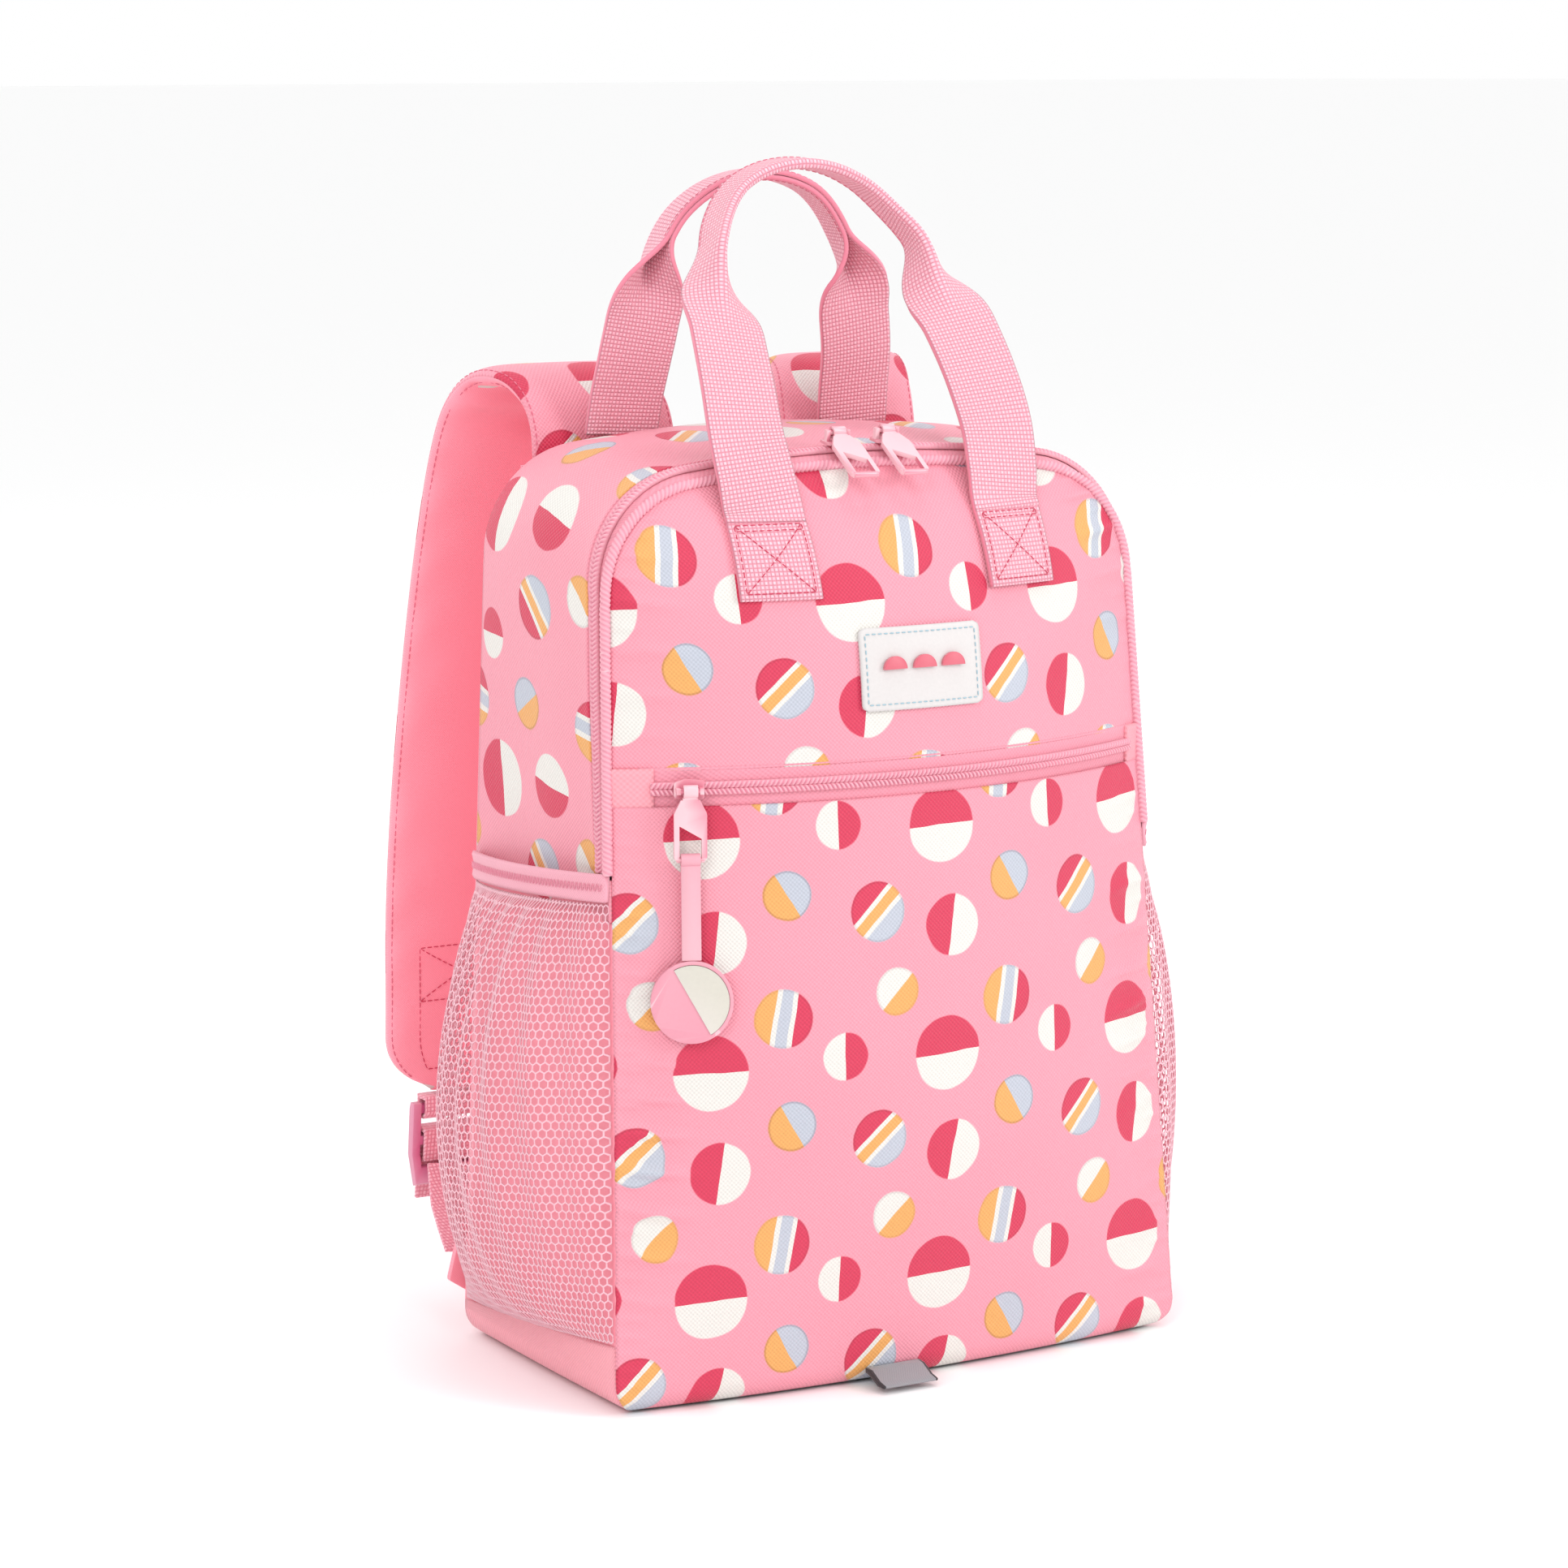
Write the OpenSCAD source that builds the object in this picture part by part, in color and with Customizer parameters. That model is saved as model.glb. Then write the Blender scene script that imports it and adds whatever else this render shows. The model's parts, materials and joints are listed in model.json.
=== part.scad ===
// School backpack with a fold-down front, shown closed and standing on its base.
// Origin: middle of the base. +Z is up, -Y is the front, +X is the right side seen from the front.

/* [Body] */
// Half the width of the bag at the floor
base_half_w = 128; // [120:1:136]
// Height of the front panel at its middle
front_h = 354; // [350:1:357]
// Height of the back at its middle
back_h = 360; // [358:1:362]
// How far the front seam stands in front of the origin at the floor
base_front = 75; // [72:1:78]
// Where the gusset meets the back panel
back_y = 57; // [55:1:58]
// Radius of the two top corners
corner_r = 42; // [40:1:46]
// Radius of the two bottom corners
foot_r = 12; // [10:1:12]
// How far the full front panel swells out in front of its seam
front_swell = 30; // [24:1:32]
// Thickness of the lined fabric
cloth_t = 1.6; // [1.4:0.1:1.7]

/* [Fold and zips] */
// Height of the fold that the front opens about
fold_z = 205.5; // [204:0.5:207]
// Height of the front pocket's zip chain
pocket_zip_z = 238.5; // [237:0.5:240]
// Where the left main slider stands along the top
main_slider_x = 11; // [10:1:16]

/* [Carrying] */
// Width of the handle webbing
web_w = 32; // [30:1:32]
// Half the spacing of the handle legs
handle_half = 54; // [52:1:55]
// Width of the shoulder straps
strap_w = 64; // [60:1:66]

/* [Hidden] */
side_taper = 0.039;
top_r = 650;
front_lean = 0.082;
hem_swell = 8;
rise_z = 180;
crown_z = 240;
edge_gap = 2.2;
tray_front_z = 26.5;
tray_back_z = 14;
pocket_top_front = 205;
pocket_top_back = 197;
pocket_bulge = 37;
pocket_mouth = 8;
zip_gap = 1;
tape_low = 0.2;
tape_high = 1;
coil_low = 1.1;
coil_high = 3.1;
coil_w = 2.2;
chain_d = 7.1;
gusset_d = 14.8;
band_low = pocket_zip_z - 6.5;
band_high = pocket_zip_z + 6.5;
arc_n = 8;
row_n = 16;
axis_r = 1.1;
eye_clear = 0.3;
puller_w = 12.5;
puller_l = 27;
charm_drop = 54;
disc_r = 15.7;
strap_t = 9;
lock_w = 38;
hem_r = 9;

// ---- shape of the bag ----
function lerp(a, b, t) = a + (b - a) * t;
function half_w(z) = base_half_w - side_taper * z;
// The front seam leans back as it rises, and rounds under the hem
function seam_y(z) = front_lean * z - base_front
    + (z < hem_r ? hem_r - sqrt(pow(hem_r, 2) - pow(hem_r - z, 2)) : 0);

// The top edge is a long low arc that runs smoothly into the corner arcs
function corner_x(top) = half_w(top - corner_r) - corner_r;
function arc_z(top) = top - top_r;
function corner_z(top) = arc_z(top) + sqrt(pow(top_r - corner_r, 2) - pow(corner_x(top), 2));
function arc_a(top) = asin(corner_x(top) / (top_r - corner_r));

// Half the width of the front panel at height z, round corners included
function edge_x(z) =
    z > corner_z(front_h) + corner_r * cos(arc_a(front_h))
        ? sqrt(max(1, pow(top_r, 2) - pow(z - arc_z(front_h), 2)))
    : z > corner_z(front_h) ? corner_x(front_h)
        + sqrt(max(0, pow(corner_r, 2) - pow(z - corner_z(front_h), 2)))
    : z < foot_r ? half_w(foot_r) - foot_r + sqrt(max(0, pow(foot_r, 2) - pow(foot_r - z, 2)))
    : half_w(z);

// How far the panel's middle stands in front of its seam at height z
function swell(z) = max(0.05, z > crown_z
    ? front_swell * (1 - pow((z - crown_z) / (front_h - crown_z), 4))
    : hem_swell + (front_swell - hem_swell) * sin(90 * min(1, z / rise_z)));

// Each level row of the front panel is an arc through both seams
function row_r(z) = (pow(edge_x(z), 2) + pow(swell(z), 2)) / (2 * swell(z));
function front_y(x, z) = seam_y(z) - sqrt(pow(row_r(z), 2) - x * x) + row_r(z) - swell(z);
function front_pt(u, z, out) = [u * edge_x(z), front_y(u * edge_x(z), z) - out, z];

// Stations along the top outline, left foot to right foot: [x, z, normal x, normal z]
function arc_station(cx, cz, r, a) = [cx + r * cos(a), cz + r * sin(a), cos(a), sin(a)];
function upper_path(top, zs) = let(cx = corner_x(top), cz = corner_z(top), lean = arc_a(top))
    concat([for (z = zs) [-half_w(z), z, -1, 0]],
        [for (k = [0:arc_n]) arc_station(-cx, cz, corner_r, 180 - (90 - lean) * k / arc_n)],
        [for (u = [-0.66, -0.33, 0, 0.33, 0.66]) arc_station(0, arc_z(top), top_r, 90 - lean * u)],
        [for (k = [0:arc_n]) arc_station(cx, cz, corner_r, 90 - lean - (90 - lean) * k / arc_n)],
        [for (i = [len(zs) - 1:-1:0]) [half_w(zs[i]), zs[i], 1, 0]]);

// Stations round the base, left side to right side
function lower_path(zs) = let(cx = half_w(foot_r) - foot_r)
    concat([for (z = zs) [-half_w(z), z, -1, 0]],
        [for (k = [0:arc_n]) let(a = 180 + 90 * k / arc_n)
            [-cx + foot_r * cos(a), foot_r + foot_r * sin(a), cos(a), sin(a)]],
        [for (u = [-0.8:0.2:0.81]) [u * cx, 0, 0, -1]],
        [for (k = [0:arc_n]) let(a = 270 + 90 * k / arc_n)
            [cx + foot_r * cos(a), foot_r + foot_r * sin(a), cos(a), sin(a)]],
        [for (i = [len(zs) - 1:-1:0]) [half_w(zs[i]), zs[i], 1, 0]]);

// Outward puff of the gusset between its seams: full on top, slight up the sides, none at the pockets
function puff(f, s) = let(wave = sin(180 * min(1, max(0, s))), top = max(0, f[3]))
    f[3] < -0.2 ? 0 : 8 * top * pow(wave, 0.3)
        + 4.5 * (1 - top) * pow(wave, 0.8) * max(0, min(1, (f[1] - 215) / 60));

// Point on the gusset, d behind the front seam, out along the outline's normal
function side_pt(f, k, d, out) =
    let(a = [f[0], front_y(f[0], f[1]), f[1]], b = [k[0], back_y, k[1]], s = d / norm(b - a))
    lerp(a, b, s) + [f[2], 0, f[3]] * (out + puff(f, s));
function side_len(f, k) = norm([k[0] - f[0], back_y - front_y(f[0], f[1]), k[1] - f[1]]);

// ---- building blocks ----
function tri_grid(rows, cols, base, flip) = [for (i = [0:rows - 2]) for (j = [0:cols - 2])
    for (k = [0:1]) let(a = base + i * cols + j, t = k == 0 ? [a, a + 1, a + cols + 1]
        : [a, a + cols + 1, a + cols]) flip ? [t[0], t[2], t[1]] : t];

// Closed sheet between two matching grids of points
module sheet(outer, inner, flip = false) {
    rows = len(outer);
    cols = len(outer[0]);
    n = rows * cols;
    rim = concat([for (j = [0:cols - 1]) j], [for (i = [1:rows - 1]) i * cols + cols - 1],
        [for (j = [cols - 2:-1:0]) (rows - 1) * cols + j], [for (i = [rows - 2:-1:1]) i * cols]);
    m = len(rim);
    edge = [for (k = [0:m - 1]) for (h = [0:1]) let(a = rim[k], b = rim[(k + 1) % m],
        t = h == 0 ? [a, a + n, b + n] : [a, b + n, b]) flip ? [t[0], t[2], t[1]] : t];
    polyhedron(points = concat([for (r = outer) for (p = r) p], [for (r = inner) for (p = r) p]),
        faces = concat(tri_grid(rows, cols, 0, flip), tri_grid(rows, cols, n, !flip), edge));
}

// Solid skinned over closed convex rings, with flat ends
module skin(rings, flip = false) {
    n = len(rings[0]);
    last = (len(rings) - 1) * n;
    wall = [for (i = [0:len(rings) - 2]) for (j = [0:n - 1]) for (k = [0:1])
        let(a = i * n + j, b = i * n + (j + 1) % n, t = k == 0 ? [a, b, b + n] : [a, b + n, a + n])
        flip ? [t[0], t[2], t[1]] : t];
    caps = [for (j = [1:n - 2]) for (k = [0:1]) let(t = k == 0 ? [0, j + 1, j]
        : [last, last + j, last + j + 1]) flip ? [t[0], t[2], t[1]] : t];
    polyhedron(points = [for (r = rings) for (p = r) p], faces = concat(wall, caps));
}

function unit(v) = v / max(norm(v), 1e-9);
function tangent(path, i) = unit(path[min(i + 1, len(path) - 1)] - path[max(i - 1, 0)]);

// Flat band along a path: wide across the path, between the thicknesses low and high
function band_ring(p, t, across, w, low, high) = let(wide = unit(across - t * (across * t)),
    up = cross(wide, t)) [p - wide * w / 2 + up * low, p + wide * w / 2 + up * low,
    p + wide * w / 2 + up * high, p - wide * w / 2 + up * high];

// A mirrored pair of one part
module both() {
    children();
    mirror([1, 0, 0]) children();
}

// ---- fabric shell ----
gusset_front_z = concat([tray_front_z + 0.5, 70, 115, 160, fold_z - 0.6], [fold_z + 0.6, 240, 275],
    [corner_z(front_h) - 0.5]);
gusset_back_z = concat([tray_back_z + 0.5, 64, 112, 160, fold_z - 0.6], [fold_z + 0.6, 241, 278],
    [corner_z(back_h) - 0.5]);
gusset_front = upper_path(front_h, gusset_front_z);
gusset_back = upper_path(back_h, gusset_back_z);
fold_i = 5;
last_i = len(gusset_front) - 1;
zip_stations = [fold_i:last_i - fold_i];

function gusset_start(i) = (i < fold_i || i > last_i - fold_i) ? edge_gap : gusset_d;

module gusset() {
    function grid(out) = [for (i = [0:last_i])
        let(f = gusset_front[i], k = gusset_back[i], reach = side_len(f, k) - 0.5)
        [for (j = [0:6]) side_pt(f, k, lerp(gusset_start(i), reach, j / 6), out)]];
    color("pink") sheet(grid(0), grid(-cloth_t));
}

module zip_strip(d0, d1, low, high) {
    function grid(out) = [for (i = zip_stations) [for (d = [d0, d1])
        side_pt(gusset_front[i], gusset_back[i], d, out)]];
    sheet(grid(high), grid(low));
}

module zip_tape_rear() {
    color("hotpink") zip_strip(chain_d + zip_gap / 2, gusset_d - 0.3, tape_low, tape_high);
}
module zip_tape_front() {
    color("hotpink") zip_strip(edge_gap + 0.4, chain_d - zip_gap / 2, tape_low, tape_high);
}
module zip_coil_rear() {
    color("deeppink") zip_strip(chain_d + zip_gap / 2, chain_d + zip_gap / 2 + coil_w,
        coil_low, coil_high);
}
module zip_coil_front() {
    color("deeppink") zip_strip(chain_d - zip_gap / 2 - coil_w, chain_d - zip_gap / 2,
        coil_low, coil_high);
}

// Ribbed bead that edges the front panel above the fold
module front_piping() {
    bead_r = 1.7;
    color("hotpink") skin([for (i = zip_stations) let(f = gusset_front[i])
        [for (a = [0:45:315]) [f[0], front_y(f[0], f[1]) + 0.4, f[1]]
            + [f[2], 0, f[3]] * (bead_r + 0.3 + bead_r * cos(a)) + [0, bead_r * sin(a), 0]]], true);
}

// Rows of the front panel between two heights, between two depths behind its face
module front_rows(zs, near, far, reach = 1) {
    function grid(depth) = [for (z = zs) [for (j = [0:row_n])
        front_pt(lerp(-reach, reach, j / row_n), z, -depth)]];
    sheet(grid(near), grid(far));
}

module front_lower_panel() {
    color("pink") front_rows([0.4, 2, 5, 9, foot_r, 40, 70, 105, 140, 175, fold_z - 0.5], 0, cloth_t);
}
module front_mid_panel() {
    color("pink") front_rows([fold_z + 0.5, 214, 223, band_low - 0.3], 0, cloth_t);
}
module front_upper_panel() {
    color("pink") front_rows([band_high + 0.3, 260, 280, 300, 315, 326, 334, 341, 346, 349.5, 352,
        front_h - 0.2], 0, cloth_t);
}
module front_lower_lining() {
    color("lightpink") front_rows([6, 9, foot_r, 40, 80, 120, 160, fold_z - 0.5], 6, 7, 0.96);
}
module front_flap_lining() {
    color("lightpink") front_rows([fold_z + 0.5, 230, 260, 285, 305, 320, 332, 340], 6, 7, 0.95);
}

module bottom_panel() {
    zf = [tray_front_z, 20];
    zb = [tray_back_z, 13];
    f = lower_path(zf);
    k = lower_path(zb);
    function grid(out) = [for (i = [0:len(f) - 1]) let(reach = side_len(f[i], k[i]) - 0.5)
        [for (j = [0:4]) side_pt(f[i], k[i], lerp(edge_gap, reach, j / 4), out)]];
    color("lightcoral") sheet(grid(0), grid(-cloth_t), true);
}

module base_board() {
    color("white") translate([0, -3, 2.2]) linear_extrude(2)
        offset(r = 8) square([2 * (half_w(0) - 24), 96], center = true);
}

// Back outline in its own plane, smaller all round by inset
module back_outline(inset) {
    lean = arc_a(back_h);
    foot_x = half_w(foot_r) - foot_r;
    right = concat([for (k = [0:6]) let(a = 90 - lean * k / 6)
            [(top_r - inset) * cos(a), arc_z(back_h) + (top_r - inset) * sin(a)]],
        [for (k = [1:10]) let(a = 90 - lean - (90 - lean) * k / 10)
            [corner_x(back_h) + (corner_r - inset) * cos(a), corner_z(back_h) + (corner_r - inset) * sin(a)]],
        [for (k = [0:6]) let(a = -90 * k / 6)
            [foot_x + (foot_r - inset) * cos(a), foot_r + (foot_r - inset) * sin(a)]]);
    polygon(concat(right, [for (i = [len(right) - 1:-1:1]) [-right[i][0], right[i][1]]]));
}
module back_slab(y0, y1, inset) {
    translate([0, y1, 0]) rotate([90, 0, 0]) linear_extrude(y1 - y0) back_outline(inset);
}
module back_panel() { color("lightcoral") back_slab(back_y + 0.1, back_y + 5.2, 0.6); }
module back_foam() { color("white") back_slab(back_y - 4.4, back_y, 4.8); }
module back_lining() { color("lightpink") back_slab(back_y - 5.4, back_y - 4.5, 4.8); }

// Tape that binds the raw seam inside the back edge
module seam_binding() {
    function grid(out) = [for (i = [0:last_i]) let(f = gusset_front[i], k = gusset_back[i],
        reach = side_len(f, k) - 0.5, a = side_pt(f, k, lerp(gusset_start(i), reach, 5 / 6), out),
        b = side_pt(f, k, reach, out)) [lerp(a, b, 0.45), lerp(a, b, 0.98)]];
    color("lightpink") sheet(grid(-cloth_t - 0.25), grid(-cloth_t - 1.1));
}

// ---- mesh side pockets ----
pocket_rows = 12;
pocket_cols = 12;
function pocket_swell(t) = t < 0.5 ? pocket_bulge * pow(sin(180 * t), 0.5)
    : pocket_mouth + (pocket_bulge - pocket_mouth) * pow(max(0, cos(180 * (t - 0.5))), 0.6);
function pocket_pt(t, s, out) =
    let(zf = lerp(tray_front_z + 1, pocket_top_front - 9, t), zk = lerp(tray_back_z + 2, pocket_top_back - 9, t),
        f = [-half_w(zf), zf, -1, 0], k = [-half_w(zk), zk, -1, 0], len = side_len(f, k),
        y = front_y(f[0], zf) + 1 + s * (back_y - 3 - front_y(f[0], zf)))
    [lerp(f[0], k[0], s) - 0.4 - out - pocket_swell(t) * pow(sin(180 * s), 0.75), y, lerp(zf, zk, s)];

module mesh_pocket() {
    function grid(out) = [for (i = [0:pocket_rows]) [for (j = [0:pocket_cols])
        pocket_pt(i / pocket_rows, j / pocket_cols, out)]];
    color("lightpink") sheet(grid(1.1), grid(0));
}
module pocket_elastic() {
    function grid(out) = [for (i = [0:2]) [for (j = [0:pocket_cols])
        pocket_pt(1, j / pocket_cols, out) + [0, 0, 0.3 + i * 4.4]]];
    color("hotpink") sheet(grid(1.8), grid(0));
}
module left_mesh_pocket() { mesh_pocket(); }
module right_mesh_pocket() { mirror([1, 0, 0]) mesh_pocket(); }
module left_pocket_elastic() { pocket_elastic(); }
module right_pocket_elastic() { mirror([1, 0, 0]) pocket_elastic(); }

// ---- front pocket zip: its chain runs on an arc about a vertical axis ----
zip_r = row_r(pocket_zip_z);
zip_axis_y = seam_y(pocket_zip_z) - swell(pocket_zip_z) + zip_r;
zip_half_a = asin(edge_x(pocket_zip_z) / zip_r);
slider_a = -21.7;
tape_out = 0.4;

// Arc band round the zip's axis: from angle a0 to a1, radii and heights given
module arc_band(a0, a1, r0, r1, z0, z1) {
    translate([0, zip_axis_y, z0]) rotate([0, 0, a0 - 90])
        rotate_extrude(angle = a1 - a0, $fn = 180) translate([r0, 0]) square([r1 - r0, z1 - z0]);
}
module pocket_zip_tape() {
    color("hotpink") for (s = [0, 1]) arc_band(-zip_half_a + 3.6, zip_half_a - 1.8,
        zip_r - tape_out - 0.4, zip_r - tape_out + 0.4,
        s == 0 ? band_low : pocket_zip_z + zip_gap / 2, s == 0 ? pocket_zip_z - zip_gap / 2 : band_high);
}
module pocket_zip_coil() {
    color("deeppink") for (s = [-1, 1]) arc_band(-zip_half_a + 3.6, zip_half_a - 1.8,
        zip_r - tape_out + 0.5, zip_r - tape_out + 2.5,
        pocket_zip_z + s * (zip_gap + coil_w) / 2 - coil_w / 2,
        pocket_zip_z + s * (zip_gap + coil_w) / 2 + coil_w / 2);
}
module pocket_zip_tabs() {
    color("pink") {
        arc_band(-zip_half_a + 0.4, -zip_half_a + 3.5, zip_r - 1.4, zip_r, band_low, band_high);
        arc_band(zip_half_a - 1.7, zip_half_a - 0.4, zip_r - 1.4, zip_r, band_low, band_high);
    }
}

// ---- label ----
module label_patch() {
    function grid(out) = [for (z = [264.5, 275, 286, 296]) [for (x = [-25:9:29])
        [x, front_y(x, z) - out, z]]];
    color("white") sheet(grid(1.5), grid(0.2));
}
// Three raised half discs, a plain pattern
module label_emblem() {
    disc = 5;
    label_lean = 7.2;
    color("crimson") for (x = [-11, 2, 15]) translate([x, front_y(x, 280) - 1.7, 280])
        rotate([90 - label_lean, 0, 0]) intersection() {
            cylinder(r = disc, h = 1.6, $fn = 32);
            translate([-disc, 0, 0]) cube([2 * disc, disc, 2]);
        }
}

// ---- zip slider: chain along x, outward along z, tape middle at z = 0 ----
slider_low = -2.1;
slider_top = 4.2;
plate_h = 1.1;
bar_z = slider_top + 3.2;
module slider_plate(w, h) {
    linear_extrude(h) offset(r = 1, $fn = 24) polygon([[-w / 2 + 1, -2.2], [-1.5, -3.2],
        [w / 2 - 1, -2.6], [w / 2 - 1, 2.6], [-1.5, 3.2], [-w / 2 + 1, 2.2]]);
}
module slider(split = false) {
    color("pink") {
        translate([0, 0, slider_low]) intersection() {
            slider_plate(11, plate_h);
            translate([-10, -10, 0]) cube([20, split ? 10.3 : 20, 2]);
        }
        translate([0, 0, slider_top - plate_h]) slider_plate(11.5, plate_h);
        translate([-3, 0.07, slider_low + 0.6]) cube([6, 0.3, slider_top - slider_low - 1.2]);
        for (x = [-5.2, 3.6]) translate([x, -1.1, slider_top - 0.3])
            cube([1.6, 2.2, bar_z - slider_top + 1.4]);
        translate([-5.2, 0, bar_z]) rotate([0, 90, 0]) cylinder(r = axis_r, h = 10.4, $fn = 24);
    }
}

// Puller hanging along -y from the bar, plate in the x-y plane
module puller() {
    rail = 2;
    plate_t = 2;
    color("pink") {
        difference() {
            union() {
                rotate([0, 90, 0]) translate([0, 0, -2.6]) cylinder(r = 2.4, h = 5.4, $fn = 32);
                translate([0, -puller_l, -plate_t / 2]) linear_extrude(plate_t) difference() {
                    offset(r = 2.5, $fn = 24) polygon([[-1.5, puller_l - 4.6], [1.5, puller_l - 4.6],
                        [puller_w / 2 - 2.5, puller_l - 9], [puller_w / 2 - 2.5, 2.5],
                        [2.5 - puller_w / 2, 2.5], [2.5 - puller_w / 2, puller_l - 9]]);
                    polygon([[-puller_w / 2 + rail, -1], [puller_w / 2 - rail, -1],
                        [puller_w / 2 - rail, 9], [-puller_w / 2 + rail, 14]]);
                }
            }
            rotate([0, 90, 0]) translate([0, 0, -4]) cylinder(r = axis_r + eye_clear, h = 8, $fn = 32);
            for (x = [-6.4, 2.9]) translate([x, -3.2, -3]) cube([3.5, 6, 6]);
        }
        translate([-puller_w / 2 + 1, -puller_l + 1, 0]) rotate([0, 90, 0])
            cylinder(r = axis_r, h = puller_w - 2, $fn = 24);
    }
}

// Places a slider's frame on the top of the bag, where the tape slopes, or on the front pocket's zip
tape_slope = 8.5;
module on_top_zip(x) {
    rise = 5.2;
    z = arc_z(front_h) + sqrt(top_r * top_r - x * x);
    translate([x, seam_y(front_h) + chain_d, z + rise + (tape_low + tape_high) / 2])
        rotate([tape_slope, 0, 0]) children();
}
module on_pocket_zip() {
    translate([0, zip_axis_y, pocket_zip_z]) rotate([0, 0, slider_a])
        translate([0, -(zip_r - tape_out), 0]) rotate([90, 0, 0]) children();
}
top_pull_tilt = 25.5;
module main_slider_left() { on_top_zip(-main_slider_x) mirror([1, 0, 0]) slider(split = true); }
module main_slider_right() { on_top_zip(main_slider_x) slider(split = true); }
module top_puller(x) { on_top_zip(x) translate([0, 0, bar_z]) rotate([top_pull_tilt, 0, 0]) puller(); }
module main_puller_left() { top_puller(-main_slider_x); }
module main_puller_right() { top_puller(main_slider_x); }
module pocket_slider() { on_pocket_zip() slider(); }
module pocket_puller() { on_pocket_zip() translate([0, 0, bar_z]) puller(); }

// Charm that hangs from the pocket puller's lower bar and leans out with the panel below it
charm_lean = 3.4;
module on_charm() {
    on_pocket_zip() translate([0, 1 - puller_l, bar_z]) rotate([-charm_lean, 0, 0]) children();
}
module charm_strap() {
    strap_half = 3.7;
    color("hotpink") on_charm() difference() {
        union() {
            translate([-strap_half, 0, 0]) rotate([0, 90, 0]) cylinder(r = 2.4, h = 2 * strap_half, $fn = 32);
            translate([-strap_half, -charm_drop + disc_r + 0.1, -1]) cube([2 * strap_half, charm_drop - disc_r - 1, 2]);
        }
        translate([-strap_half - 1, 0, 0]) rotate([0, 90, 0])
            cylinder(r = axis_r + eye_clear, h = 2 * strap_half + 2, $fn = 32);
    }
}
module charm_disc() {
    color("hotpink") on_charm() translate([0, -charm_drop, -1.4]) difference() {
        cylinder(r = disc_r, h = 2.8, $fn = 64);
        translate([0, 0, 2]) linear_extrude(2) charm_half(disc_r - 1.4);
    }
}
module charm_half(r) {
    intersection() {
        circle(r, $fn = 64);
        rotate(-61) translate([0, -r]) translate([-r, r]) square([2 * r, r]);
    }
}
module charm_inlay() {
    color("ivory") on_charm() translate([0, -charm_drop, 0.65]) linear_extrude(1.1) charm_half(disc_r - 1.6);
}

// ---- carrying handles: legs of flat webbing, folded in half along the grip ----
web_t = 2;
end_low = 308;
end_high = 337;
root_z = end_high + 1.6;
front_handle_half = [[handle_half, front_y(handle_half, root_z) - 3.6, root_z], [55, -54.5, 352],
    [56, -48, 369], [54.5, -38.5, 388], [52, -26, 407], [49, -13.5, 423], [45.5, -4, 438], [38, 4.5, 450],
    [28, 9.5, 460], [15, 11, 466.3], [0, 11, 468.5]];
rear_handle_half = [[handle_half - 0.5, 58.3, back_h + 2.6], [52.5, 55, 376], [51, 50.5, 392], [48.5, 48, 408],
    [46.5, 47.5, 423], [42.5, 47, 435], [35, 46, 447.5], [25, 43.5, 456.5], [13, 42.3, 461.7], [0, 42, 463.5]];
fold_low = 400;
fold_high = 440;
function fold_share(z) = max(0, min(1, (z - fold_low) / (fold_high - fold_low)));
function full_loop(half) = concat([for (p = half) [-p[0], p[1], p[2]]],
    [for (i = [len(half) - 2:-1:0]) half[i]]);
module handle_loop(half) {
    path = full_loop(half);
    skin([for (i = [0:len(path) - 1]) let(k = fold_share(path[i][2]), th = lerp(web_t, 2 * web_t + 0.6, k),
        wide = unit([1 - k, k, 0]))
        band_ring(path[i], tangent(path, i), wide, lerp(web_w, web_w / 2, k), -th / 2, th / 2)]);
}
module front_handle_loop() { color("hotpink") handle_loop(front_handle_half); }
module rear_handle_loop() { color("hotpink") handle_loop(rear_handle_half); }
module front_handle_ends() {
    function grid(s, out) = [for (z = [end_low, 315, 322, 330, end_high]) [for (j = [0:4])
        let(x = s * handle_half + lerp(-web_w / 2, web_w / 2, j / 4)) [x, front_y(x, z) - out, z]]];
    color("hotpink") for (s = [-1, 1]) sheet(grid(s, 2.3), grid(s, 0.3));
}
module rear_handle_ends() {
    color("hotpink") both() translate([-rear_handle_half[0][0] - web_w / 2, back_y + 0.3, back_h - 1.4])
        cube([web_w, web_t, 2.2]);
}

// ---- shoulder straps: points run from the top seam over the arch and down the back ----
strap_path = [[-57, 66, 352], [-57, 67.4, 363], [-58, 72, 373], [-60.5, 79.5, 380], [-63.5, 88.5, 383],
    [-67, 98.5, 382.5], [-70.5, 108, 377], [-73.5, 115, 367], [-76.5, 118.5, 352], [-80, 120, 332],
    [-84.5, 120, 305], [-89, 119, 276], [-93.5, 117, 246], [-97.5, 115, 216], [-101, 112.5, 186],
    [-103.5, 110, 158], [-105, 107.5, 130], [-106, 106, 112], [-106.5, 105, 100], [-107, 104.3, 92]];
strap_last = len(strap_path) - 1;
function strap_half_w(i) = strap_w / 2 - (i > strap_last - 1 ? 16 : i > strap_last - 2 ? 7
    : i > strap_last - 3 ? 2.5 : i < 4 ? 1 : 0);
function strap_thick(i) = i < 2 ? 5 : i < 4 ? 7 : i > strap_last - 1 ? 6 : strap_t;
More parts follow.
